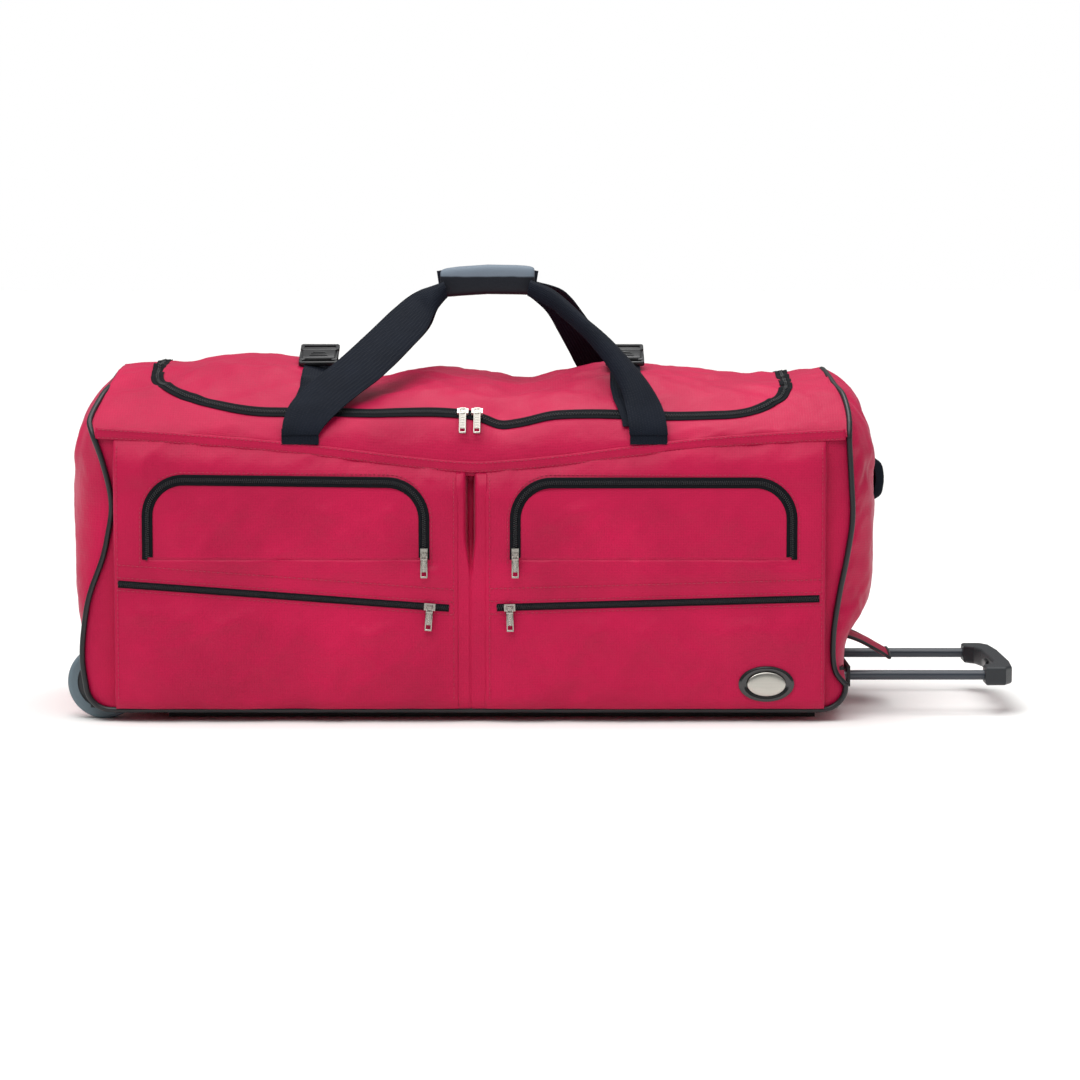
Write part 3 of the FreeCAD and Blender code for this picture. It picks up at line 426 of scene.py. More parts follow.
def panel(name, cols, rows, bend, surface, outlines=(), reach=3.6, keep=None):
    """A panel of cloth. Grid line (c, r) lies at bend(c, r) on the flat cut, and surface(a, b) sews it into place.
    Grid points near an outline are drawn on to it, and faces whose middle fails keep(a, b) are cut away."""
    clear_selection()
    nu, nv = len(cols) - 1, len(rows) - 1
    bpy.ops.mesh.primitive_grid_add(x_subdivisions=nu, y_subdivisions=nv, size=2.0)
    ob = named(name)
    mesh = ob.data
    spots = np.zeros(len(mesh.vertices) * 3)
    mesh.vertices.foreach_get("co", spots)
    spots = spots.reshape(-1, 3)
    grid = [(round((p[0] + 1) / 2 * nu), round((p[1] + 1) / 2 * nv)) for p in spots]
    flat = np.array([bend(cols[i], rows[j]) for i, j in grid], float)
    for outline in outlines:
        line = np.array(outline, float)
        lo, hi = line.min(0) - reach, line.max(0) + reach
        near = np.where(((flat >= lo) & (flat <= hi)).all(1))[0]
        for k in near:
            gap = np.hypot(*(line - flat[k]).T)
            best = int(gap.argmin())
            if gap[best] < reach:
                flat[k] = line[best]
    if keep is not None:
        gone = [
            f.index for f in mesh.polygons if not keep(*flat[list(f.vertices)].mean(0))
        ]

        def cut(bm):
            bm.faces.ensure_lookup_table()
            bmesh.ops.delete(bm, geom=[bm.faces[i] for i in gone], context="FACES")

        layer = mesh.attributes.new("cut_u", "FLOAT", "POINT")
        layer.data.foreach_set("value", flat[:, 0])
        layer = mesh.attributes.new("cut_v", "FLOAT", "POINT")
        layer.data.foreach_set("value", flat[:, 1])
        edit(ob, cut)
        count = len(mesh.vertices)
        flat = np.zeros((count, 2))
        for column, key in ((0, "cut_u"), (1, "cut_v")):
            values = np.zeros(count)
            mesh.attributes[key].data.foreach_get("value", values)
            flat[:, column] = values
            mesh.attributes.remove(mesh.attributes[key])
    places = np.array([surface(a, b) for a, b in flat], float) * MM
    mesh.vertices.foreach_set("co", places.ravel())
    uv = mesh.uv_layers[0] if mesh.uv_layers else mesh.uv_layers.new(name="UVMap")
    corner = np.zeros(len(mesh.loops), int)
    mesh.loops.foreach_get("vertex_index", corner)
    uv.data.foreach_set("uv", (flat[corner] * MM).ravel())
    mesh.update()
    ob["flat_area"] = cut_area(mesh, flat)
    ob["flat_size"] = list((flat.max(0) - flat.min(0)) * MM)
    return ob, flat


def cut_area(mesh, flat):
    total = 0.0
    for face in mesh.polygons:
        p = flat[list(face.vertices)] * MM
        total += 0.5 * abs(
            sum(p[i][0] * p[(i + 1) % len(p)][1] - p[(i + 1) % len(p)][0] * p[i][1] for i in range(len(p)))
        )
    return total


def rim(ob):
    """The indices of the vertices on the open edges."""
    uses = {}
    for face in ob.data.polygons:
        for key in face.edge_keys:
            uses[key] = uses.get(key, 0) + 1
    return {v for key, n in uses.items() if n == 1 for v in key}


def settle(ob, held, ease, push, most, count=22, bend=0.2):
    """Let the spare cloth find its own creases: held points are sewn down, and none moves more than `most` mm."""
    start = [v.co.copy() for v in ob.data.vertices]
    sewn = ob.vertex_groups.new(name="sewn")
    sewn.add(sorted(held), 1.0, "REPLACE")
    pick(ob)
    cloth = ob.modifiers.new("creases", "CLOTH")
    how = cloth.settings
    how.quality = 6
    how.mass = 0.25
    how.tension_stiffness = how.compression_stiffness = 14
    how.shear_stiffness = 6
    how.bending_stiffness = bend
    how.air_damping = 2.0
    how.vertex_group_mass = sewn.name
    how.shrink_min = -ease
    how.use_pressure = True
    how.uniform_pressure_force = push
    how.effector_weights.gravity = 0
    cloth.collision_settings.use_collision = False
    cloth.collision_settings.use_self_collision = False
    cloth.point_cache.frame_start = 1
    cloth.point_cache.frame_end = count
    for number in range(1, count + 1):
        bpy.context.scene.frame_set(number)
    bpy.ops.object.modifier_apply(modifier=cloth.name)
    bpy.context.scene.frame_set(1)
    for v, before in zip(ob.data.vertices, start):
        moved = v.co - before
        if moved.length > most * MM:
            v.co = before + moved * (most * MM / moved.length)
    ob.vertex_groups.clear()


def thicken(ob, thick, offset=0):
    """Give a flat band its thickness."""
    wall = ob.modifiers.new("wall", "SOLIDIFY")
    wall.thickness = thick
    wall.offset = offset
    apply_all(ob)


def finish_cloth(ob, thick, levels=1):
    """Smooth the cloth and give it its thickness, inwards."""
    if levels:
        soften = ob.modifiers.new("smooth", "SUBSURF")
        soften.levels = soften.render_levels = levels
        soften.boundary_smooth = "PRESERVE_CORNERS"
    thicken(ob, thick, -1)
    smooth(ob)


def dress(ob, body, material, cad=()):
    """Tie a finished piece to its body, its finish and the CAD nodes it stands for."""
    ob.data.materials.clear()
    ob.data.materials.append(material)
    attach(ob, body)
    if cad:
        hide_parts(*cad)


def strip(name, path, ups, profile):
    """A band that follows `path`, mm. `profile` lists (across, up) offsets, or gives them for a share of the path."""
    count = len(path)
    tangents = [
        (path[min(i + 1, count - 1)] - path[max(i - 1, 0)]).normalized() for i in range(count)
    ]
    first = profile(0.0) if callable(profile) else profile
    clear_selection()
    nu, nv = count - 1, len(first) - 1
    bpy.ops.mesh.primitive_grid_add(x_subdivisions=nu, y_subdivisions=nv, size=2.0)
    ob = named(name)
    mesh = ob.data
    run = [0.0]
    for i in range(1, count):
        run.append(run[-1] + (path[i] - path[i - 1]).length)
    sections = []
    for i in range(count):
        rows = profile(run[i] / run[-1]) if callable(profile) else profile
        across = ups[i].cross(tangents[i]).normalized()
        sections.append([(path[i] + across * w + ups[i] * h, w) for w, h in rows])
    flat = {}
    for v in mesh.vertices:
        i = round((v.co.x + 1) / 2 * nu)
        j = round((v.co.y + 1) / 2 * nv)
        spot, w = sections[i][j]
        v.co = spot * MM
        flat[v.index] = (run[i] * MM, w * MM)
    uv = mesh.uv_layers[0]
    for loop in mesh.loops:
        uv.data[loop.index].uv = flat[loop.vertex_index]
    mesh.update()
    wide = abs(first[-1][0] - first[0][0])
    ob["flat_size"] = [run[-1] * MM, wide * MM]
    ob["flat_area"] = run[-1] * wide * MM * MM
    return ob


def tube(name, path, radius):
    """A round cord along a smooth curve through the path, mm."""
    clear_selection()
    bpy.ops.curve.primitive_nurbs_path_add()
    ob = named(name)
    curve = ob.data
    curve.splines.clear()
    line = curve.splines.new("NURBS")
    line.points.add(len(path) - 1)
    for point, place in zip(line.points, path):
        point.co = (place[0] * MM, place[1] * MM, place[2] * MM, 1.0)
    line.order_u = 3
    line.use_endpoint_u = True
    line.resolution_u = 2
    curve.bevel_depth = radius * MM
    curve.bevel_resolution = 4
    curve.use_fill_caps = True
    bpy.ops.object.convert(target="MESH")
    ob = named(name)
    smooth(ob)
    return ob


def resample(points, step):
    """Points every `step` along a polyline of vectors."""
    points = [Vector(p) for p in points]
    run = [0.0]
    for a, b in zip(points, points[1:]):
        run.append(run[-1] + (b - a).length)
    count = max(1, int(round(run[-1] / step)))
    out, k = [], 0
    for n in range(count + 1):
        want = run[-1] * n / count
        while k < len(run) - 2 and run[k + 1] < want:
            k += 1
        span = run[k + 1] - run[k]
        out.append(points[k].lerp(points[k + 1], (want - run[k]) / span if span else 0.0))
    return out


def repeat(name, pattern, places):
    """One mesh of the pattern copied to each place, a matrix in metres."""
    shape = np.array([v.co for v in pattern.data.vertices], float)
    shape = np.hstack([shape, np.ones((len(shape), 1))])
    faces = [list(f.vertices) for f in pattern.data.polygons]
    spots, loops = [], []
    for n, place in enumerate(places):
        spots.append((shape @ np.array(place).T)[:, :3])
        loops += [[v + n * len(shape) for v in face] for face in faces]
    mesh = bpy.data.meshes.new(name)
    mesh.from_pydata(np.vstack(spots).tolist(), [], loops)
    bpy.data.objects.remove(pattern)
    ob = bpy.data.objects.new(name, mesh)
    bpy.context.scene.collection.objects.link(ob)
    smooth(ob)
    return ob


def set_on(point, along, up):
    """A matrix that puts a pattern's X along the run and its Z up, at a point in mm."""
    x = along.normalized()
    z = (up - x * up.dot(x)).normalized()
    y = z.cross(x)
    turn = Matrix((x, y, z)).transposed().to_4x4()
    return Matrix.Translation(point * MM) @ turn


def bead(size):
    """A small rounded grain, in mm: a thread's stitch or a zip's tooth."""
    clear_selection()
    bpy.ops.mesh.primitive_uv_sphere_add(segments=6, ring_count=4, radius=1.0)
    ob = named("bead")
    for v in ob.data.vertices:
        x, y, z = v.co
        v.co = Vector((z * size[0], x * size[1], y * size[2])) * MM
    face = ob.data.polygons[0]
    if face.normal.dot(face.center) < 0:
        ob.data.flip_normals()
    return ob


def stitches(name, runs, pitch, material, body, lift=0.25):
    """Rows of topstitching. Each run is (points, ups), in mm."""
    places = []
    for points, ups in runs:
        line = resample(points, pitch)
        total = len(line) - 1
        for i in range(total):
            middle = (line[i] + line[i + 1]) / 2
            share = (i + 0.5) / total * (len(ups) - 1)
            k = min(int(share), len(ups) - 2) if len(ups) > 1 else 0
            up = ups[k].lerp(ups[min(k + 1, len(ups) - 1)], share - k).normalized()
            places.append(set_on(middle + up * lift, line[i + 1] - line[i], up))
    ob = repeat(name, bead((pitch * 0.37, 0.5, 0.4)), places)
    dress(ob, body, material)


def rounded_block(name, low, high, edge, segments=3):
    """A moulded block with rounded edges, in mm, from a cube."""
    clear_selection()
    bpy.ops.mesh.primitive_cube_add(size=1.0)
    ob = named(name)
    lo, hi = Vector(low), Vector(high)
    middle, size = (lo + hi) / 2, hi - lo
    for v in ob.data.vertices:
        v.co = Vector([(middle[k] + v.co[k] * size[k]) * MM for k in range(3)])
    if edge:
        pick(ob)
        bpy.ops.object.mode_set(mode="EDIT")
        bpy.ops.mesh.select_all(action="SELECT")
        bpy.ops.mesh.bevel(offset=edge * MM, segments=segments, affect="EDGES")
        bpy.ops.object.mode_set(mode="OBJECT")
    return ob


def place_by(ob, matrix):
    ob.data.transform(matrix)
    ob.data.update()
    return ob


# ---------------------------------------------------------------- materials
def add(tree, kind, links=None, **settings):
    """Add a node: settings are its properties or, for inputs, their default values; links name sockets."""
    node = tree.nodes.new(kind)
    for key, value in settings.items():
        if key.startswith("in_"):
            name = key[3:].replace("_", " ")
            node.inputs[int(name) if name.isdigit() else name].default_value = value
        else:
            setattr(node, key, value)
    for name, source in (links or {}).items():
        tree.links.new(source, node.inputs[name])
    return node


def new_material(name, shade):
    material = bpy.data.materials.new(name)
    material.use_nodes = True
    tree = material.node_tree
    tree.nodes.clear()
    out = tree.nodes.new("ShaderNodeOutputMaterial")
    shader = tree.nodes.new("ShaderNodeBsdfPrincipled")
    tree.links.new(shader.outputs[0], out.inputs[0])
    for key, value in shade.items():
        shader.inputs[key].default_value = value
    return material, tree, shader


def rgba(c, dim=1.0):
    return (c[0] * dim, c[1] * dim, c[2] * dim, 1.0)


def two_tone(tree, shader, factor, first, second):
    """Base colour between two shades."""
    shade = add(tree, "ShaderNodeMix", {"Factor": factor}, data_type="RGBA")
    shade.inputs[6].default_value = first
    shade.inputs[7].default_value = second
    tree.links.new(shade.outputs[2], shader.inputs["Base Color"])


def roughen(tree, shader, height, low, high):
    rough = add(tree, "ShaderNodeMapRange", {"Value": height}, in_To_Min=low, in_To_Max=high)
    tree.links.new(rough.outputs[0], shader.inputs["Roughness"])


def emboss(tree, shader, height, strength, distance, **under):
    raised = add(tree, "ShaderNodeBump", {"Height": height, **under}, in_Strength=strength, in_Distance=distance)
    tree.links.new(raised.outputs[0], shader.inputs["Normal"])


def grain_noise(tree, spot, scale, detail, **more):
    return add(tree, "ShaderNodeTexNoise", {"Vector": spot.outputs["Object"]}, in_Scale=scale, in_Detail=detail, **more)


def stripes(tree, vector, way, pitch, **more):
    """Bands across UV axis `way`, `pitch` metres apart for each pair of threads."""
    scale = 2 * math.pi / (20 * pitch)
    return add(tree, "ShaderNodeTexWave", {"Vector": vector}, bands_direction=way, in_Scale=scale, **more)


def woven_polyester(name, base):
    """600-denier oxford polyester, coated on the back: a satin weave that catches a soft sheen.
    Threads are 0.5 mm apart in life and drawn 1.6 mm apart so that the weave shows."""
    material, tree, shader = new_material(
        name,
        {"Roughness": 0.5, "Sheen Weight": 0.12, "Sheen Roughness": 0.35,
         "Sheen Tint": (1.0, 0.45, 0.6, 1.0), "Specular IOR Level": 0.2},
    )
    spot = add(tree, "ShaderNodeTexCoord")
    uv = spot.outputs["UV"]
    warp = stripes(tree, uv, "X", 0.0032)
    weft = stripes(tree, uv, "Y", 0.0032)
    weave = add(tree, "ShaderNodeMath", {0: warp.outputs["Color"], 1: weft.outputs["Color"]}, operation="MULTIPLY")
    cloudy = grain_noise(tree, spot, 9.0, 3.0, in_Roughness=0.55)
    crush = grain_noise(tree, spot, 42.0, 4.0, in_Roughness=0.6)
    shade = add(tree, "ShaderNodeValToRGB", {"Fac": cloudy.outputs["Fac"]})
    shade.color_ramp.elements[0].position = 0.3
    shade.color_ramp.elements[0].color = rgba(base, 0.86)
    shade.color_ramp.elements[1].position = 0.72
    shade.color_ramp.elements[1].color = rgba(base, 1.1)
    tone = add(tree, "ShaderNodeMix", {"Factor": weave.outputs[0], 6: shade.outputs[0]},
               data_type="RGBA", blend_type="MULTIPLY")
    tone.inputs[7].default_value = (0.88, 0.85, 0.86, 1)
    tree.links.new(tone.outputs[2], shader.inputs["Base Color"])
    roughen(tree, shader, crush.outputs["Fac"], 0.42, 0.6)
    low = add(tree, "ShaderNodeBump", {"Height": crush.outputs["Fac"]}, in_Strength=0.35, in_Distance=0.004)
    emboss(tree, shader, weave.outputs[0], 0.25, 0.0004, Normal=low.outputs[0])
    return material


def woven_webbing(name, base, rib=0.0022):
    """Polypropylene webbing: tight ribs across the strap, 1.1 mm apart in life and drawn 2.2 mm apart."""
    material, tree, shader = new_material(
        name, {"Roughness": 0.62, "Sheen Weight": 0.02, "Sheen Roughness": 0.4, "Specular IOR Level": 0.1}
    )
    spot = add(tree, "ShaderNodeTexCoord")
    turned = add(tree, "ShaderNodeMapping", {"Vector": spot.outputs["UV"]})
    turned.inputs["Rotation"].default_value = (0, 0, math.radians(28))
    ribs = stripes(tree, turned.outputs[0], "X", rib, in_Distortion=0.6)
    lines = stripes(tree, spot.outputs["UV"], "Y", rib * 1.6)
    both = add(tree, "ShaderNodeMath", {0: ribs.outputs["Fac"], 1: lines.outputs["Fac"]}, operation="MULTIPLY")
    patchy = grain_noise(tree, spot, 30.0, 3.0)
    two_tone(tree, shader, patchy.outputs["Fac"], rgba(base, 0.7), rgba(base, 1.35))
    roughen(tree, shader, both.outputs[0], 0.72, 0.5)
    emboss(tree, shader, both.outputs[0], 0.6, 0.0008)
    return material


def speckled(name, base, shade, grain, height, low, high, tint=0.12):
    """A solid finish with a fine grain: roughness, colour and height all follow the same noise."""
    material, tree, shader = new_material(name, shade)
    spot = add(tree, "ShaderNodeTexCoord")
    noisy = grain_noise(tree, spot, 1 / grain, 4.0, in_Roughness=0.6)
    broad = grain_noise(tree, spot, 14.0, 2.0)
    two_tone(tree, shader, broad.outputs["Fac"], rgba(base, 1 - tint), rgba(base, 1 + tint))
    roughen(tree, shader, noisy.outputs["Fac"], low, high)
    emboss(tree, shader, noisy.outputs["Fac"], height, 0.0006)
    return material


def banded_wrap(name, top, under):
    """Neoprene grip wrap: a smooth grey knit over the palm side, bound in black knit below the fold."""
    material, tree, shader = new_material(name, {"Roughness": 0.5, "Sheen Weight": 0.04, "Specular IOR Level": 0.25})
    spot = add(tree, "ShaderNodeTexCoord")
    axes = add(tree, "ShaderNodeSeparateXYZ", {"Vector": spot.outputs["Object"]})
    wavy = add(tree, "ShaderNodeTexNoise", {"Vector": spot.outputs["Object"]}, in_Scale=40.0)
    drift = add(tree, "ShaderNodeMath", {0: wavy.outputs["Fac"], 2: axes.outputs["Z"]},
                operation="MULTIPLY_ADD", in_1=0.0025)
    fold = add(tree, "ShaderNodeMapRange", {"Value": drift.outputs[0]}, in_From_Min=0.5575, in_From_Max=0.5595)
    two_tone(tree, shader, fold.outputs[0], rgba(under, 0.9), rgba(top))
    knit = grain_noise(tree, spot, 700.0, 2.0)
    roughen(tree, shader, knit.outputs["Fac"], 0.42, 0.62)
    emboss(tree, shader, knit.outputs["Fac"], 0.4, 0.0006)
    return material


STORE = {}


def make_finishes(c):
    """Mix every finish of the bag; c holds the chosen colours."""
    STORE["fabric"] = woven_polyester("crimson oxford polyester", c.fabric)
    STORE["webbing"] = woven_webbing("polypropylene webbing", c.webbing)
    STORE["tape"] = woven_webbing("woven zip tape", c.zips, rib=0.0014)
    satin, metal = {"Specular IOR Level": 0.5}, {"Metallic": 1.0}
    painted = {"Specular IOR Level": 0.55, "Coat Weight": 0.25, "Coat Roughness": 0.25}
    etched, matt = {"Specular IOR Level": 0.45}, {"Sheen Weight": 0.2}
    glossy = {"Coat Weight": 0.6, "Coat Roughness": 0.08}
    # key: finish, colour, shader settings, grain size, bump, lowest and highest roughness, colour variation
    for key, *finish in (
        # smooth drawn filament with a dull gloss
        ("coil", "nylon zip coil", c.zips, satin, 0.001, 0.15, 0.28, 0.42),
        # matt, and slightly darker than the cloth it closes
        ("thread", "polyester thread", c.thread, matt, 0.0008, 0.3, 0.5, 0.7),
        ("piping", "extruded PVC piping", c.zips, satin, 0.002, 0.1, 0.32, 0.46),
        # bright, with a soft cast grain
        ("nickel", "nickel-plated die-cast zinc", c.metal, metal, 0.0012, 0.12, 0.2, 0.36, 0.08),
        ("steel", "turned steel", linear("#9A9C9E"), metal, 0.0008, 0.1, 0.25, 0.4, 0.08),
        ("guide", "zinc-plated steel", linear("#6E7276"), metal, 0.0015, 0.1, 0.3, 0.45, 0.1),
        # drawn tube with the coat's fine orange peel
        ("tube", "satin powder coat", c.tube, painted, 0.0014, 0.18, 0.28, 0.42),
        ("acetal", "moulded acetal", c.plastic, satin, 0.0012, 0.15, 0.3, 0.44),
        ("polypropylene", "etched polypropylene", c.plastic, etched, 0.0016, 0.4, 0.42, 0.62),
        ("grip", "spark-eroded nylon", linear("#1D2125"), satin, 0.0013, 0.45, 0.38, 0.58),
        ("tyre", "thermoplastic rubber", c.tyre, etched, 0.002, 0.25, 0.4, 0.58),
        ("hub", "glass-filled nylon", linear("#26292D"), satin, 0.0015, 0.3, 0.35, 0.5),
        ("enamel", "black gloss enamel", linear("#0D0D10"), glossy, 0.004, 0.05, 0.14, 0.24),
    ):
        STORE[key] = speckled(*finish)
    STORE["wrap"] = banded_wrap("knitted grip wrap", c.wrap, c.webbing)
    STORE["plate"] = brushed("brushed nickel plate", linear("#C4C2BA"))


def brushed(name, base):
    """Rolled nickel plate brushed along its length: fine straight scratches spread the highlight."""
    material, tree, shader = new_material(name, {"Metallic": 1.0, "Anisotropic": 0.5})
    spot = add(tree, "ShaderNodeTexCoord")
    pulled = add(tree, "ShaderNodeMapping", {"Vector": spot.outputs["Object"]})
    pulled.inputs["Scale"].default_value = (12, 12, 1400)
    scratch = add(tree, "ShaderNodeTexNoise", {"Vector": pulled.outputs[0]}, in_Scale=1.0, in_Detail=2.0)
    two_tone(tree, shader, scratch.outputs["Fac"], rgba(base, 0.72), rgba(base, 1.0))
    roughen(tree, shader, scratch.outputs["Fac"], 0.2, 0.42)
    return material


OPERATORS = []


def listed(cls):
    OPERATORS.append(cls)
    return cls


# ---------------------------------------------------------------- bag cloth
@listed
class DUFFEL_OT_walls(bpy.types.Operator):
    """Sew the front and back walls, which hang between the top seam and the base"""

    bl_idname = "duffel.walls"
    bl_label = "Front and back walls"

    def execute(self, context):
        sizes = context.scene.duffel_sizes
        step = sizes.mesh_step / MM
        rows = [0, 0.4, 1.6, 4, 8, 14, 22, 32] + steps(40, CUT_HIGH, step * 1.3)
        for name, side, node, seam in (
            ("front_wall_cloth", -1, "front_panel", TOP_SEAM),
            ("back_wall_cloth", 1, "back_panel", BACK_SEAM),
        ):

            def bend(c, r, side=side, seam=seam):
                x = c * HALF_SPAN
                z = BASE_Z + r / CUT_HIGH * (follow(seam, x) - BASE_Z)
                x = left_edge(z) + (c + 1) / 2 * (right_edge(z) - left_edge(z))
                return x * -side, z

            def skin(a, z, side=side, seam=seam):
                x = a * -side
                edge = min(x - left_edge(z), right_edge(z) - x)
                out = WALL_Y - 2.5 * (1 - rise(edge / 16))
                if side > 0:
                    calm = rise(edge / 60) * rise((z - 30) / 60) * rise((follow(seam, x) - z) / 50)
                    out += calm * (3.5 + 3.0 * ripple(x, z, 120, 9.0) + 1.6 * ripple(x - z, z, 48, 2.0))
                    out += calm * 3.0 * (crease(x, z, 28, 160, 42, 6.3) + 0.7 * crease(x, z, -40, 120, 36, 2.8))
                else:
                    out -= 1.0
                    out += 1.6 * crease(x, z, 78, 90, 14, 3.3) * rise(edge / 10)
                return Vector((x, side * out, z))

            cols = steps(-1, 1, step * 1.3 / HALF_SPAN)
            if side > 0:
                cols = cols[::-1]

            keep = (lambda a, b: not (-12 < a < 12 and 190 < b < 310)) if side < 0 else None
            ob, _ = panel(name, cols, rows, bend, skin, (), 3, keep)
            if side > 0:
                settle(ob, rim(ob), sizes.ease, 2.0, 8)
            finish_cloth(ob, sizes.cloth)
            dress(ob, "bag", STORE["fabric"], (node,))
        return {"FINISHED"}


@listed
class DUFFEL_OT_base_cloth(bpy.types.Operator):
    """Lay the base cloth under the board, between the two rows of base piping"""

    bl_idname = "duffel.base_cloth"
    bl_label = "Base cloth"

    def execute(self, context):
        sizes = context.scene.duffel_sizes
        ob, _ = panel(
            "base_cloth",
            steps(-452, 440, 14),
            steps(178, -178, 14),
            lambda c, r: (c, -r),
            lambda a, b: Vector((a, -b, BASE_Z + 0.5 + 0.5 * ripple(a, b, 60))),
        )
        edit(ob, lambda bm: bmesh.ops.recalc_face_normals(bm, faces=bm.faces))
        if ob.data.polygons[0].normal.z > 0:
            ob.data.flip_normals()
        finish_cloth(ob, sizes.cloth, 0)
        dress(ob, "bag", STORE["fabric"], ("base_panel",))
        return {"FINISHED"}


@listed
class DUFFEL_OT_ends(bpy.types.Operator):
    """Sew the two end panels, rounded out between their piped edges, with wells for the wheels in the left one"""

    bl_idname = "duffel.ends"
    bl_label = "End panels"

    def execute(self, context):
        sizes = context.scene.duffel_sizes
        step = sizes.mesh_step / MM * 1.25
        rows = [0, 0.4, 1.5, 3.5, 7, 12, 19, 27, 36] + steps(45, END_CUT, step)
        for name, side, node in (("left_end_cloth", -1, "left_end_panel"), ("right_end_cloth", 1, "right_end_panel")):
            edge_at = left_edge if side < 0 else right_edge
            middle_at = left_middle if side < 0 else right_middle

            def bend(c, r):
                y = c
                top = DOME_Z + math.sqrt(DOME_R**2 - y * y) - 1
                return y, BASE_Z + r / END_CUT * (top - BASE_Z)

            def skin(a, z, side=side, edge_at=edge_at, middle_at=middle_at):
                y = a * side
                top = DOME_Z + math.sqrt(DOME_R**2 - y * y) - 1
                share = (z - BASE_Z) / (top - BASE_Z)
                high = BASE_Z + share * (440 - BASE_Z)
                across = min(1.0, abs(y) / WALL_Y)
                swell = (1 - across**3.2) ** 0.62
                near = edge_at(z)
                x = near + (middle_at(high) - near) * swell
                calm = rise((z - 112) / 40) * rise((top - z) / 45) * rise((WALL_Y - abs(y)) / 45)
                x += side * calm * (2.0 * ripple(y, z, 85, 4 + side) + 1.2 * ripple(y + z, z - y, 40, 8))
                x += side * calm * 3.0 * (crease(y, z, 62, 130, 38, 3 + side) + 0.6 * crease(y, z, 118, 90, 32, 7))
                return Vector((x, y, z))

            outlines, keep = (), None
            if side < 0:
                outlines = []
                for middle in (-WHEEL_Y, WHEEL_Y):
                    near, far = middle - WELL_HALF, middle + WELL_HALF
                    box = [(near, z) for z in np.arange(10, WELL_TOP, 2)]
                    box += [(y, WELL_TOP) for y in np.arange(near, far + 1, 2)]
                    box += [(far, z) for z in np.arange(WELL_TOP, 10, -2)]
                    outlines.append([(-y, z) for y, z in box])

                def keep(a, b):
                    return not (abs(abs(a) - WHEEL_Y) < WELL_HALF and b < WELL_TOP)

            cols = [-180, -178.5, -176] + steps(-171, 171, step) + [176, 178.5, 180]
            ob, flat = panel(name, cols, rows, bend, skin, outlines, step * 0.55, keep)
            # sewn down below the wheels' top and under the grab handle
            held = rim(ob) | {
                i for i, (a, b) in enumerate(flat) if b < 112 or (side > 0 and abs(a) < 26 and 225 < b < 362)
            }
            settle(ob, held, sizes.ease, 2.0, 7)
            finish_cloth(ob, sizes.cloth)
            dress(ob, "bag", STORE["fabric"], (node,))
        return {"FINISHED"}


def lid_outline(step=3.0):
    """The lid's edge on the flat cut of the crown: round front corners, open at the hinge."""
    back = LID_ARC - SEWN
    (wl, hl), (wr, hr) = LID_CORNERS[-1], LID_CORNERS[1]
    points = [(-LID_X, b) for b in np.arange(back, hl - ZIP_ARC, -step)]
    for k in range(1, 41):
        turn = math.radians(180 + 90 * k / 40)
        points.append((wl - LID_X + wl * math.cos(turn), hl - ZIP_ARC + hl * math.sin(turn)))
    points += [(a, -ZIP_ARC) for a in np.arange(wl - LID_X + step, LID_X - wr, step)]
    for k in range(33):
        turn = math.radians(270 + 90 * k / 32)
        points.append((LID_X - wr + wr * math.cos(turn), hr - ZIP_ARC + hr * math.sin(turn)))
    points += [(LID_X, b) for b in np.arange(hr - ZIP_ARC, back, step)] + [(LID_X, back)]
    return points


def in_lid(a, b):
    if abs(a) > LID_X or b < -ZIP_ARC or b > LID_ARC - SEWN:
        return False
    wide, high = LID_CORNERS[-1 if a < 0 else 1]
    if abs(a) > LID_X - wide and b < high - ZIP_ARC:
        return math.hypot((abs(a) - LID_X + wide) / wide, (b + ZIP_ARC - high) / high) < 1
    return True


def crown_bend(c, r):
    z = crown_height(c * HALF_SPAN, r)
    return left_edge(z) + (c + 1) / 2 * (right_edge(z) - left_edge(z)), r


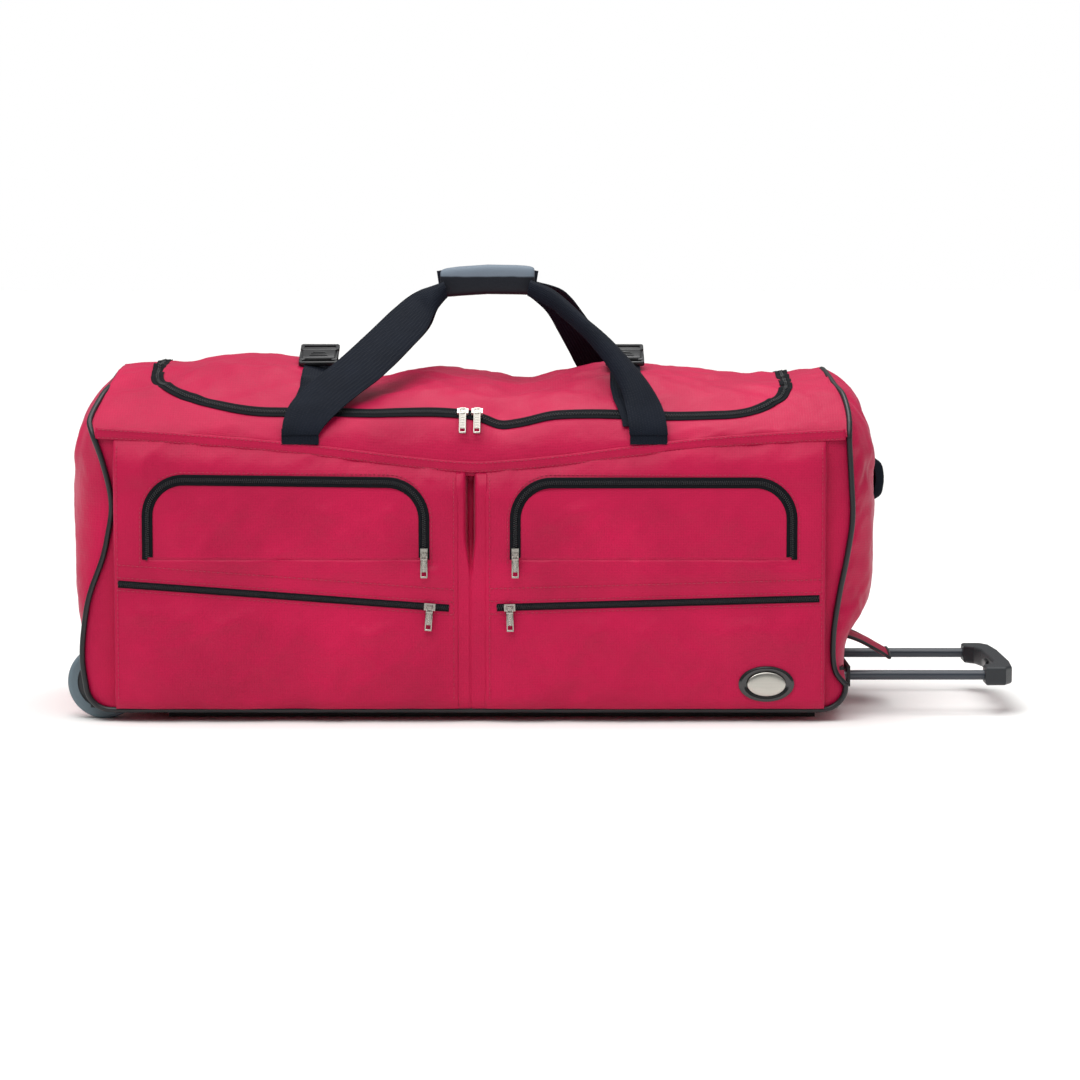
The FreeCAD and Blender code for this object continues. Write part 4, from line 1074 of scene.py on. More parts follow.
@listed
class DUFFEL_OT_crown(bpy.types.Operator):
    """Sew the top of the bag: the yokes round the opening, and the lid that the main zip frees"""

    bl_idname = "duffel.crown"
    bl_label = "Crown and lid"

    def execute(self, context):
        sizes = context.scene.duffel_sizes
        step = sizes.mesh_step / MM * 1.1
        reach = LID_ARC + FRONT_ARC
        cols = steps(-1, 1, step / HALF_SPAN)
        rows = steps(-reach, -LID_ARC - SEWN, step * 0.8)[:-1]
        rows += steps(-LID_ARC - SEWN, LID_ARC - SEWN, step) + steps(LID_ARC + 3, reach, step)
        edge = lid_outline()
        hinge = [(a, LID_ARC - SEWN) for a in np.arange(-LID_X, LID_X + 1, 3)]
        yokes, flat = panel("crown_yoke_cloth", cols, rows, crown_bend, crown_skin, [edge, hinge], step * 0.52,
                            lambda a, b: not in_lid(a, b))
        held = rim(yokes) | {i for i, (a, b) in enumerate(flat) if near_zip(a, b, 8)}
        settle(yokes, held, sizes.ease, 1.0, 7)
        finish_cloth(yokes, sizes.cloth)
        dress(yokes, "bag", STORE["fabric"], ("front_yoke", "back_yoke", "end_yokes"))
        lid, flat = panel("lid_cloth", cols, rows, crown_bend, crown_skin, [edge, hinge], step * 0.52,
                          lambda a, b: in_lid(a, b))
        held = rim(lid) | {i for i, (a, b) in enumerate(flat) if near_zip(a, b, 8)}
        settle(lid, held, sizes.ease, 2.5, 9)
        finish_cloth(lid, sizes.cloth)
        dress(lid, "lid", STORE["fabric"], ("top_lid",))
        # the cloth runs on across the lid's hinge; this band is drawn as it lies with the lid shut and stays put when
        # the lid opens
        line = [crown_line(x, LID_ARC - SEWN) for x in steps(-LID_X + 3, LID_X - 3, 7)]
        band = strip("lid_hinge_fold", [spot for spot, up in line], [up for spot, up in line],
                     [(w, -1.6 - 0.002 * w * w) for w in range(-9, 10, 2)])
        finish_cloth(band, sizes.cloth, 1)
        band.data.materials.clear()
        band.data.materials.append(STORE["fabric"])
        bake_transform(band)
        return {"FINISHED"}


def near_zip(a, b, reach):
    return bool((np.hypot(LID_EDGE[:, 0] - a, LID_EDGE[:, 1] - b) < reach).any())


LID_EDGE = np.array(lid_outline())


@listed
class DUFFEL_OT_pockets(bpy.types.Operator):
    """Sew the two front pockets, each with an arched flap above and a long zip below"""

    bl_idname = "duffel.pockets"
    bl_label = "Front pockets"

    def execute(self, context):
        sizes = context.scene.duffel_sizes
        step = sizes.mesh_step / MM
        for side in ("left", "right"):
            x0, x1 = POCKETS[side]
            ends = [(x0, 0.0), (x0 - 0.3, 0.4), (x0 + 0.2, 0.75), (x0 + 2, 0.94), (x0 + 6, 1.0)]
            inner = [(x1 - 6, 1.0), (x1 - 2, 0.99), (x1, 0.95), (x1 + 0.8, 0.84)]
            if side == "right":
                ends = [(x0 - 0.8, 0.84), (x0, 0.95), (x0 + 2, 0.99), (x0 + 6, 1.0)]
                inner = [(x1 - 6, 1.0), (x1 - 2, 0.94), (x1 - 0.2, 0.75), (x1 + 0.3, 0.4), (x1, 0.0)]
            middle = steps(x0 + 11, x1 - 11, step)
            across = ends + [(x, 1.0) for x in middle] + inner
            run = [0.0]
            for (xa, ka), (xb, kb) in zip(across, across[1:]):
                run.append(run[-1] + math.hypot(xb - xa, (kb - ka) * 16))
            start = x0 - run[len(ends)] + (middle[0] - x0)
            flat_x = [start + r for r in run]
            rows = [17, 17.6, 19, 22, 27, 34] + steps(42, FLAP_LOW, step) + steps(FLAP_LOW, 300, step)[1:]
            rows += [307, 313, 318, 322, 325, 326.5, 327]

            def bend(c, r, across=across, flat_x=flat_x, rows=rows):
                x = across[c][0]
                seam = follow(TOP_SEAM, x)
                if r > FLAP_LOW:
                    r = FLAP_LOW + (r - FLAP_LOW) / (rows[-1] - FLAP_LOW) * (seam - 1.0 - FLAP_LOW)
                return flat_x[c], r

            keys = np.array(flat_x)

            def skin(a, b, side=side, keys=keys, across=across):
                k = int(np.clip(np.searchsorted(keys, a) - 1, 0, len(keys) - 2))
                t = (a - keys[k]) / (keys[k + 1] - keys[k])
                x = across[k][0] * (1 - t) + across[k + 1][0] * t
                depth = across[k][1] * (1 - t) + across[k + 1][1] * t
                spot = pocket_skin(side, x, b)
                spot.y = -WALL_Y + (spot.y + WALL_Y) * depth
                return spot

            shift = flat_x[len(ends)] - middle[0]
            outline = [(x + shift, z) for x, z in arch(side)]
            feet = [x for x, z in arch(side)]
            foot = [(x + shift, FLAP_LOW) for x in np.arange(min(feet), max(feet) + 1, 3)]
            ob, flat = panel(
                side + "_pocket_cloth", list(range(len(across))), rows, bend, skin,
                [outline, foot], step * 0.55,
                lambda a, b, side=side, shift=shift: not inside_arch(side, a - shift, b),
            )
            line = np.array(outline + foot)
            held = rim(ob)
            for i, (a, b) in enumerate(flat):
                x = a - shift
                if abs(b - low_zip_height(side, x)) < 7 or np.hypot(line[:, 0] - a, line[:, 1] - b).min() < 8:
                    held.add(i)
            settle(ob, held, sizes.ease, 1.5, 6)
            finish_cloth(ob, sizes.cloth)
            dress(ob, "bag", STORE["fabric"], (side + "_pocket",))
            flap, flat = panel(
                side + "_flap_cloth", middle, rows, lambda c, r: (c, bend(across.index((c, 1.0)), r)[1]),
                lambda a, b, side=side: pocket_skin(side, a, b),
                [arch(side), [(x - shift, z) for x, z in foot]], step * 0.55,
                lambda a, b, side=side: inside_arch(side, a, b),
            )
            line = np.array(arch(side))
            held = rim(flap) | {
                i for i, (a, b) in enumerate(flat) if np.hypot(line[:, 0] - a, line[:, 1] - b).min() < 8
            }
            settle(flap, held, sizes.ease, 1.5, 6)
            finish_cloth(flap, sizes.cloth)
            dress(flap, side + "_flap", STORE["fabric"], (side + "_pocket_flap",))
        return {"FINISHED"}


@listed
class DUFFEL_OT_centre_pleat(bpy.types.Operator):
    """Fold the centre pleat between the pockets, open at the top and stitched down below"""

    bl_idname = "duffel.centre_pleat"
    bl_label = "Centre pleat"

    def execute(self, context):
        sizes = context.scene.duffel_sizes
        x0, x1 = POCKETS["left"][1] - 2, POCKETS["right"][0] + 2
        across = [0, 0.08, 0.2, 0.29, 0.325, 0.345, 0.36, 0.38, 0.42, 0.46]
        across += [0.5, 0.54, 0.56, 0.575, 0.595, 0.63, 0.74, 0.9, 1]
        rows = steps(17, 300, 7)

        def bend(c, r):
            z = 17 + (r - 17) / 283 * (follow(TOP_SEAM, 2) - 2 - 17)
            return x0 + c * (x1 - x0), z

        def skin(a, z):
            share = (a - x0) / (x1 - x0)
            seam = follow(TOP_SEAM, 2)
            open_up = rise((z - 186) / 50)
            lean = 0.475 - 0.02 * open_up
            gap = 0.02 + 0.105 * open_up
            deep = 2.5 + 27 * open_up * rise((seam - z) / 10)
            fall = 1 / (1 + (abs(share - lean) / gap) ** 9)
            top = math.sin(min(1, max(0, (seam - z) / 26)) * math.pi / 2) ** 0.8
            low = math.sin(min(1, max(0, (z - 14) / 15)) * math.pi / 2) ** 0.8
            out = 13.8 * top * low + 1.0 * ripple(a * 2, z, 50, 6)
            return Vector((a, -(WALL_Y + max(0.2, out) - deep * fall), z))

        ob, _ = panel("centre_pleat_cloth", across, rows, bend, skin)
        finish_cloth(ob, sizes.cloth)
        dress(ob, "bag", STORE["fabric"], ())
        return {"FINISHED"}


# ---------------------------------------------------------------- piping
def edge_ring(side, out=1.0):
    """The corded edge of an end panel: up the front, over the dome and down the back, in mm."""
    edge_at = left_edge if side < 0 else right_edge
    points = [(edge_at(z), -WALL_Y - out, z) for z in steps(BASE_Z + CORNER_R, 362, 9)]
    for b in steps(-(LID_ARC + 33), LID_ARC + 33, 9):
        y, z = crown_profile(side * HALF_SPAN, b)
        here = Vector((0, y, z - DOME_Z)).normalized() * (out - 4.5 * rise((130 - abs(b)) / 40))
        points.append((edge_at(min(z, 442)), y + here.y, z + here.z))
    points += [(edge_at(z), WALL_Y + out, z) for z in steps(362, BASE_Z + CORNER_R, 9)]
    return points


@listed
class DUFFEL_OT_piping(bpy.types.Operator):
    """Run the corded piping round both end panels and along the base"""

    bl_idname = "duffel.piping"
    bl_label = "Piping"

    def execute(self, context):
        radius = context.scene.duffel_sizes.piping / MM
        for name, side, node in (("left_edge_cord", -1, "left_piping"), ("right_edge_cord", 1, "right_piping")):
            ob = tube(name, edge_ring(side), radius)
            dress(ob, "bag", STORE["piping"], (node,))
        rows = []
        for y in (-WALL_Y - 1, WALL_Y + 1):
            heights = [BASE_Z + CORNER_R, 40, 33, 27, 22, 18.5, 16.2, BASE_Z + 0.2]
            left = [(left_edge(z), y, z) for z in heights]
            right = [(right_edge(z), y, z) for z in reversed(heights)]
            mid = [(x, y, BASE_Z) for x in steps(left[-1][0] + 12, right[0][0] - 12, 30)]
            rows.append(tube("base_cord", left + mid + right, radius))
        ob = join("base_edge_cord", rows)
        dress(ob, "bag", STORE["piping"], ("base_piping",))
        return {"FINISHED"}


# ---------------------------------------------------------------- zips
def zip_half(name, path, ups, sign, width, pitch, body, cad=(), shift=0.0, lift=0.5):
    """One side of a zip: woven tape with a row of coil teeth along the centre line."""
    inner, outer = (-0.15, width) if sign > 0 else (-width, 0.15)
    middle = (inner + outer) / 2
    profile = [
        (inner, lift + 0.1), (inner * 0.5 + middle * 0.5, lift + 0.25), (middle, lift + 0.15),
        (outer * 0.5 + middle * 0.5, lift), (outer, lift - 0.2),
    ]
    tape = strip(name, path, ups, profile)
    thicken(tape, 0.0006)
    smooth(tape)
    dress(tape, body, STORE["tape"], cad)
    line = resample(path, pitch / 2)
    total = len(line) - 1
    places = []
    for i in range(1 if shift else 0, total, 2):
        along = line[min(i + 1, total)] - line[max(i - 1, 0)]
        share = i / total * (len(ups) - 1)
        k = min(int(share), len(ups) - 2)
        up = ups[k].lerp(ups[k + 1], share - k).normalized()
        across = up.cross(along.normalized())
        places.append(set_on(line[i] + across * (sign * 1.15) + up * (lift + 0.75), along, up))
    teeth = repeat(name + "_teeth", bead((pitch * 0.3, 2.0, 0.8)), places)
    dress(teeth, body, STORE["coil"])


@listed
class DUFFEL_OT_main_zip(bpy.types.Operator):
    """Run the main zip round the lid, one half on the bag and one on the lid"""

    bl_idname = "duffel.main_zip"
    bl_label = "Main zip"

    def execute(self, context):
        sizes = context.scene.duffel_sizes
        outline = [(a, b) for a, b in lid_outline(4.0) if b < 150]
        spots = [crown_line(a, b) for a, b in outline]
        path = [s[0] for s in spots]
        ups = [s[1] for s in spots]
        pitch = sizes.tooth / MM * 1.3
        width = sizes.tape / MM * 1.2
        zip_half("main_zip_bag_side", path, ups, -1, width, pitch, "bag", ("main_zip_tape",))
        zip_half("main_zip_lid_side", path, ups, 1, width, pitch, "lid", ("lid_zip_tape",), 1.0)
        return {"FINISHED"}


@listed
class DUFFEL_OT_pocket_zips(bpy.types.Operator):
    """Run the arched zips round both flaps and the long zips below them"""

    bl_idname = "duffel.pocket_zips"
    bl_label = "Pocket zips"

    def execute(self, context):
        sizes = context.scene.duffel_sizes
        width, pitch = sizes.tape / MM, sizes.tooth / MM
        out = Vector((0, -1, 0))
        face = -POCKET_FACE
        for side in ("left", "right"):
            path = [Vector((x, face, z)) for x, z in arch(side)]
            if side == "right":
                path = path[::-1]
            ups = [out] * len(path)
            zip_half(side + "_arch_zip_bag_side", path, ups, 1, width, pitch, "bag",
                     ("upper_pocket_zips",) if side == "left" else ())
            inner = [p for p in path if p.z > FLAP_LOW + 0.5]
            zip_half(side + "_arch_zip_flap_side", inner, [out] * len(inner), -1, width, pitch, side + "_flap", (), 1.0)
            (xa, za), (xb, zb) = LOW_ZIPS[side]
            path = [Vector((x, face, za + (zb - za) * (x - xa) / (xb - xa))) for x in steps(xa, xb, 5)]
            ups = [out] * len(path)
            zip_half(side + "_low_zip_upper_side", path, ups, 1, width * 0.66, pitch * 0.9, "bag",
                     ("lower_pocket_zips",) if side == "left" else ())
            zip_half(side + "_low_zip_lower_side", path, ups, -1, width * 0.66, pitch * 0.9, "bag", (), 1.0)
        return {"FINISHED"}


# ---------------------------------------------------------------- stitching
@listed
class DUFFEL_OT_seams(bpy.types.Operator):
    """Lap and topstitch the seams of the body, the pockets and the zips"""

    bl_idname = "duffel.seams"
    bl_label = "Seams and stitching"

    def execute(self, context):
        sizes = context.scene.duffel_sizes
        pitch = sizes.stitch / MM
        out = Vector((0, -1, 0))
        # lapped top seam: a turned edge 11 mm wide over the tops of the pockets
        path = [Vector((x, -WALL_Y - 3.4, follow(TOP_SEAM, x) + 4)) for x in steps(-468, 470, 8)]
        fold = strip("top_seam_fold", path, [out] * len(path), [(-7, -0.4), (-6, 0.6), (0, 0.9), (6, 0.6), (7, -0.4)])
        finish_cloth(fold, sizes.cloth, 1)
        dress(fold, "bag", STORE["fabric"], ())
        # the same turned edge covers the join of the back wall and the crown
        path = [Vector((x, WALL_Y + 3.0, follow(BACK_SEAM, x) - 1)) for x in steps(-468, 468, 8)]
        section = [(-8, -1.5), (-6.5, 0.7), (0, 1.0), (6.5, 0.7), (8, -0.6)]
        fold = strip("back_seam_fold", path, [-out] * len(path), section)
        finish_cloth(fold, sizes.cloth, 1)
        dress(fold, "bag", STORE["fabric"], ())
        runs = []
        for lift in (-1.2, 8.6):
            line = [Vector((x, -WALL_Y - 4.2, follow(TOP_SEAM, x) + lift)) for x in steps(-466, 468, 8)]
            runs.append((line, [out, out]))
        stitches("top_seam_stitches", runs, pitch, STORE["thread"], "bag")
        runs = []
        for side in ("left", "right"):
            x0, x1 = POCKETS[side]
            # the turned band over the long zip, and both of its edges
            for lift in (-8, 8, 24):
                line = [Vector((x, 0, low_zip_height(side, x) + lift)) for x in steps(x0 + 5, x1 - 5, 8)]
                line = [Vector((p.x, pocket_skin(side, p.x, p.z).y - 0.4, p.z)) for p in line]
                runs.append((line, [out, out]))
            line = [Vector((x, 0, z)) for x, z in arch(side, -9.5, FLAP_LOW - 6)]
            line = [Vector((p.x, pocket_skin(side, p.x, p.z).y - 0.5, p.z)) for p in line]
            runs.append((line, [out, out]))
            for x in (x0 + 5.0, x1 - 5.0):
                rise = steps(30, follow(TOP_SEAM, x) - 10, 10)
                line = [Vector((x, pocket_skin(side, x, z).y - 0.2, z)) for z in rise]
                runs.append((line, [out, out]))
        stitches("pocket_stitches", runs, pitch, STORE["thread"], "bag")
        return {"FINISHED"}


# ---------------------------------------------------------------- carry handles and straps
FOOT_Y, FOOT_Z = 182.0, 372.0
GRIP_Y, GRIP_Z = 11.0, 552.0
WRAP_X, WRAP_LONG = (-41, 81), 122
SLOPE = Vector((0, FOOT_Y - GRIP_Y, GRIP_Z - FOOT_Z))
LEFT_LEG = [
    ((-235, -10), (-189, -10)), ((-232, 18), (-176, 10)), ((-222, 44), (-158, 33)), ((-197, 77), (-137, 56)),
    ((-166, 112), (-112, 82)), ((-130, 158), (-83, 122)), ((-98, 200), (-58, 160)), ((-72, 226), (-46, 196)),
    ((-38, 240), (-32, 219)),
]
RIGHT_LEG = [
    ((72, 221), (77, 243)), ((101, 201), (104, 229)), ((117, 183), (126, 205)), ((133, 164), (149, 176)),
    ((152, 138), (176, 146)), ((174, 100), (205, 104)), ((190, 62), (227, 66)), ((197, 22), (243, 26)),
    ((200, -10), (248, -10)),
]
BACK_RIGHT_LEG = [
    ((72, 221), (77, 243)), ((96, 190), (118, 228)), ((112, 152), (146, 184)), ((126, 116), (168, 138)),
    ((140, 80), (186, 96)), ((163, 42), (210, 52)), ((188, 8), (234, 12)), ((200, -10), (247, -10)),
]


def smooth_line(points, step):
    """A Catmull-Rom line through (x, u) pairs."""
    out = []
    for i in range(len(points) - 1):
        p0, p1 = Vector(points[max(i - 1, 0)]), Vector(points[i])
        p2, p3 = Vector(points[i + 1]), Vector(points[min(i + 2, len(points) - 1)])
        count = max(2, int((p2 - p1).length / step))
        for k in range(count):
            t = k / count
            out.append(
                0.5 * (2 * p1 + (p2 - p0) * t + (2 * p0 - 5 * p1 + 4 * p2 - p3) * t * t
                       + (3 * p1 - p0 - 3 * p2 + p3) * t**3)
            )
    out.append(Vector(points[-1]))
    return out


def leaning(x, u, lift, side):
    """A point on the handle's leaning plane: x along the bag, u up the slope, lift away from the bag.
    Below the slope's foot the webbing lies flat on the yoke."""
    way = SLOPE.normalized()
    climb = u if u > 45 else 45 * (max(0.0, u + 8) / 53) ** 1.45
    y = FOOT_Y + 2.6 - way.y * climb
    z = FOOT_Z + (way.z * u if u > 0 else u)
    y += way.z * lift * rise((u + 5) / 40)
    z += way.y * lift * rise((u + 5) / 40)
    return Vector((x, side * y, z))


def leg(name, edges, side, thick):
    """A leg of webbing between two edge lines; where it narrows the band is curled."""
    first = smooth_line([e[0] for e in edges], 6)
    second = smooth_line([e[1] for e in edges], 6)
    count = min(len(first), len(second))
    first = [first[round(k * (len(first) - 1) / (count - 1))] for k in range(count)]
    second = [second[round(k * (len(second) - 1) / (count - 1))] for k in range(count)]
    across = [0, 0.04, 0.15, 0.3, 0.5, 0.7, 0.85, 0.96, 1]
    clear_selection()
    nu, nv = count - 1, len(across) - 1
    bpy.ops.mesh.primitive_grid_add(x_subdivisions=nu, y_subdivisions=nv, size=2.0)
    ob = named(name)
    run = [0.0]
    for k in range(1, count):
        run.append(run[-1] + ((first[k] + second[k]) / 2 - (first[k - 1] + second[k - 1]) / 2).length)
    flat = {}
    for v in ob.data.vertices:
        i = round((v.co.x + 1) / 2 * nu)
        j = round((v.co.y + 1) / 2 * nv)
        spot = first[i].lerp(second[i], across[j])
        wide = (second[i] - first[i]).length
        bow = math.sqrt(max(0.0, 1 - (min(wide, 45) / 46) ** 2)) * 15
        lift = bow * (math.sin(across[j] * math.pi) ** 0.8) + 1.2
        lift *= rise(spot.y / 60 + 0.2) if spot.y < 50 else 1
        v.co = leaning(spot.x, spot.y, lift, side) * MM
        flat[v.index] = (run[i] * MM, (across[j] - 0.5) * 46 * MM)
    for loop in ob.data.loops:
        ob.data.uv_layers[0].data[loop.index].uv = flat[loop.vertex_index]
    ob.data.update()
    faces = ob.data.polygons
    if faces[len(faces) // 2].normal.y * side < 0:
        ob.data.flip_normals()
    wall = ob.modifiers.new("wall", "SOLIDIFY")
    wall.thickness = thick
    wall.offset = 0
    soften = ob.modifiers.new("round", "BEVEL")
    soften.width = 0.0006
    soften.segments = 2
    apply_all(ob)
    smooth(ob, 50)
    return ob


@listed
class DUFFEL_OT_handles(bpy.types.Operator):
    """Make the two carry handles: webbing legs that meet in the wrapped grip"""

    bl_idname = "duffel.handles"
    bl_label = "Carry handles"

    def execute(self, context):
        sizes = context.scene.duffel_sizes
        for label, side in (("front", -1), ("back", 1)):
            left = leg(label + "_leg_a", LEFT_LEG, side, sizes.webbing)
            shape = RIGHT_LEG if side < 0 else BACK_RIGHT_LEG
            right = leg(label + "_leg_b", shape, side, sizes.webbing)
            path = [
                Vector((x, side * 12, GRIP_Z + 6 * math.sin((x - WRAP_X[0]) / WRAP_LONG * math.pi)))
                for x in steps(WRAP_X[0] - 3, WRAP_X[1] + 3, 8)
            ]
            ups = [Vector((0, side * 0.95, 0.3)).normalized()] * len(path)
            core = strip(label + "_core", path, ups, [(-14, -1.5), (-13, 0), (0, 1), (13, 0), (14, -1.5)])
            thicken(core, sizes.webbing, -1)
            ob = join(label + "_carry_webbing", [left, right, core])
            smooth(ob, 50)
            dress(ob, label + "_carry", STORE["webbing"], (label + "_handle_webbing",))
        # short feet that the legs are sewn to, on the bag's yoke
        feet = []
        for side in (-1, 1):
            for x0, x1 in ((-235, -189), (201, 247)):
                path = [Vector(((x0 + x1) / 2, side * (183.6 - 0.4 * k), 350 + 4 * k)) for k in range(6)]
                up = Vector((0, side, 0.12)).normalized()
                half = (x1 - x0) / 2
                section = [(-half, -0.3), (-half + 2, 0.3), (0, 0.5), (half - 2, 0.3), (half, -0.3)]
                feet.append(strip("foot", path, [up] * len(path), section))
        foot = join("webbing_feet", feet)
        thicken(foot, sizes.webbing)
        smooth(foot, 50)
        dress(foot, "bag", STORE["webbing"], ("webbing_anchors",))
        return {"FINISHED"}


def pillow(name, low, high, round_x=0.3, round_yz=0.55, around=40, rings=28):
    """A stuffed block with soft edges, in mm, from a sphere; its long way is X."""
    clear_selection()
    bpy.ops.mesh.primitive_uv_sphere_add(segments=around, ring_count=rings, radius=1.0)
    ob = named(name)
    lo, hi = Vector(low), Vector(high)
    middle, half = (lo + hi) / 2, (hi - lo) / 2
    for v in ob.data.vertices:
        x, y, z = v.co.z, v.co.x, v.co.y
        ring = math.hypot(y, z)
        if ring > 1e-6:
            squared = (abs(y / ring) ** (2 / round_yz) + abs(z / ring) ** (2 / round_yz)) ** (-round_yz / 2)
            y, z = y / ring * squared, z / ring * squared
        full = ring ** round_x
        x = math.copysign(abs(x) ** (round_x * 1.4), x)
        v.co = Vector((middle.x + x * half.x, middle.y + y * full * half.y, middle.z + z * full * half.z)) * MM
    if ob.data.polygons[40].normal.dot(ob.data.polygons[40].center - middle * MM) < 0:
        ob.data.flip_normals()
    return ob


@listed
class DUFFEL_OT_grip_wrap(bpy.types.Operator):
    """Close the padded wrap round both handles: two halves with bound edges"""

    bl_idname = "duffel.grip_wrap"
    bl_label = "Grip wrap"

    def execute(self, context):
        for label, side in (("front", -1), ("back", 1)):
            low = (WRAP_X[0], min(side * 0.4, side * 24), 533)
            high = (WRAP_X[1], max(side * 0.4, side * 24), 571)
            ob = pillow(label + "_grip_wrap_pad", low, high, 0.16, 0.5)
            for v in ob.data.vertices:
                x = v.co.x / MM
                v.co.z += (3.5 * math.sin((x - WRAP_X[0]) / WRAP_LONG * math.pi) - 2.0 + 0.025 * (x - 20)) * MM
                v.co.z += 0.35 * MM * ripple(x, v.co.z / MM, 14, side)
            smooth(ob)
            dress(ob, label + "_carry", STORE["wrap"], (label + "_wrap_half",))
        return {"FINISHED"}


@listed
class DUFFEL_OT_lid_straps(bpy.types.Operator):
    """Lay the compression straps from the handle feet over the lid to the buckles"""

    bl_idname = "duffel.lid_straps"
    bl_label = "Lid straps"

    def execute(self, context):
        for label, side in (("front", -1), ("back", 1)):
            straps = []
            for x in (-STRAP_X, STRAP_X):
                path, ups = [], []
                last = 52 if side < 0 else 14
                for b in steps(188, last, 7):
                    away = 14 * rise((b - 120) / 68)
                    here, up = crown_line(x + (-away if x < 0 else away), side * b)
                    lift = 3.2 + 1.5 * rise((70 - b) / 30)
                    path.append(here + up * lift)
                    ups.append(up)
                section = [(-19, -0.3), (-18.2, 0.4), (-9, 0.7), (0, 0.5), (9, 0.7), (18.2, 0.4), (19, -0.3)]
                band = strip("band", path, ups, section)
                straps.append(band)
            ob = join(label + "_lid_strap_bands", straps)
            thicken(ob, 0.0018)
            smooth(ob, 50)
            dress(ob, label + "_carry", STORE["webbing"], (label + "_lid_straps",))
        return {"FINISHED"}


def socket_shape(x):
    """The female half of a side-release buckle, flat, its mouth towards +Y."""
    parts = [
        rounded_block("shell", (x - 22, -58, 0), (x + 22, -32, 11), 3.0, 3),
        rounded_block("wing_a", (x - 25, -60, 2), (x - 16, -40, 9.5), 2.2, 3),
        rounded_block("wing_b", (x + 16, -60, 2), (x + 25, -40, 9.5), 2.2, 3),
        rounded_block("bar", (x - 24, -67, 2.2), (x + 24, -62.5, 8.5), 1.6, 3),
        rounded_block("side_a", (x - 25, -66, 2.2), (x - 20.5, -56, 8.5), 1.5, 3),
        rounded_block("side_b", (x + 20.5, -66, 2.2), (x + 25, -56, 8.5), 1.5, 3),
        rounded_block("ridge_a", (x - 12, -52, 10.4), (x + 12, -50, 12.2), 0.8, 2),
        rounded_block("ridge_b", (x - 10, -47, 10.4), (x + 10, -45, 12.2), 0.8, 2),
        rounded_block("ridge_c", (x - 8, -42, 10.4), (x + 8, -40, 12.2), 0.8, 2),
    ]
    return parts


def plug_shape(x):
    """The male half: a slotted base with two side arms that show in the socket's sides."""
    parts = [
        rounded_block("root", (x - 23, -30, 2), (x + 23, -21, 10), 2.2, 3),
        rounded_block("bar", (x - 24, -11, 2.2), (x + 24, -6.5, 8.5), 1.6, 3),
        rounded_block("side_a", (x - 25, -24, 2.2), (x - 20, -8, 8.5), 1.5, 3),
        rounded_block("side_b", (x + 20, -24, 2.2), (x + 25, -8, 8.5), 1.5, 3),
        rounded_block("lock", (x - 20, -17.5, 3), (x + 20, -14.5, 7.5), 1.2, 2),
        rounded_block("arm_a", (x - 25, -40, 3), (x - 21.5, -28, 8), 1.4, 3),
        rounded_block("arm_b", (x + 21.5, -40, 3), (x + 25, -28, 8), 1.4, 3),
    ]
    return parts


@listed
class DUFFEL_OT_buckles(bpy.types.Operator):
    """Mould the side-release buckles that join the lid straps"""

    bl_idname = "duffel.buckles"
    bl_label = "Buckles"

    def execute(self, context):
        for name, shape, node, body in (
            ("buckle_socket_shells", socket_shape, "buckle_sockets", "front_carry"),
            ("buckle_plug_shells", plug_shape, "buckle_plugs", "back_carry"),
        ):
            turn = Matrix.Rotation(BUCKLE_TILT, 4, "X")
            pivot = Vector((0, -30, 0)) * MM
            place = Matrix.Translation(Vector((0, -30, 454)) * MM) @ turn @ Matrix.Translation(-pivot)
            ob = join(name, [place_by(part, place) for x in (-STRAP_X, STRAP_X) for part in shape(x)])
            smooth(ob, 35)
            dress(ob, body, STORE["acetal"], (node,))
        return {"FINISHED"}


@listed
class DUFFEL_OT_grab_handle(bpy.types.Operator):
    """Sew the grab handle to the trolley end, standing off in a loop"""

    bl_idname = "duffel.grab_handle"
    bl_label = "End grab handle"

    def execute(self, context):
        sizes = context.scene.duffel_sizes
        line = smooth_line([(509.5, 238), (509.6, 252), (511, 262), (521, 268), (531, 275), (534, 287), (534.5, 295),
                            (534, 303), (531, 314), (521, 321), (511, 327), (509.6, 337), (509.5, 350)], 3)
        path = [Vector((p.x, 0, p.y)) for p in line]
        ups = []
        for i in range(len(path)):
            along = (path[min(i + 1, len(path) - 1)] - path[max(i - 1, 0)]).normalized()
            ups.append(Vector((along.z, 0, -along.x)))

        def grab_section(share):
            curl = 9.0 * rise((0.5 - abs(share - 0.5)) * 5 - 0.9)
            return [(-19, -0.5 - curl), (-18.4, 0.2 - curl * 0.45), (-15, 0.4), (-7, 0.6), (0, 0.4), (7, 0.6),
                    (15, 0.4), (18.4, 0.2 - curl * 0.45), (19, -0.5 - curl)]

        ob = strip("end_grab_strap", path, ups, grab_section)
        thicken(ob, sizes.webbing)
        smooth(ob, 50)
        dress(ob, "bag", STORE["webbing"], ("end_grab_handle",))
        return {"FINISHED"}


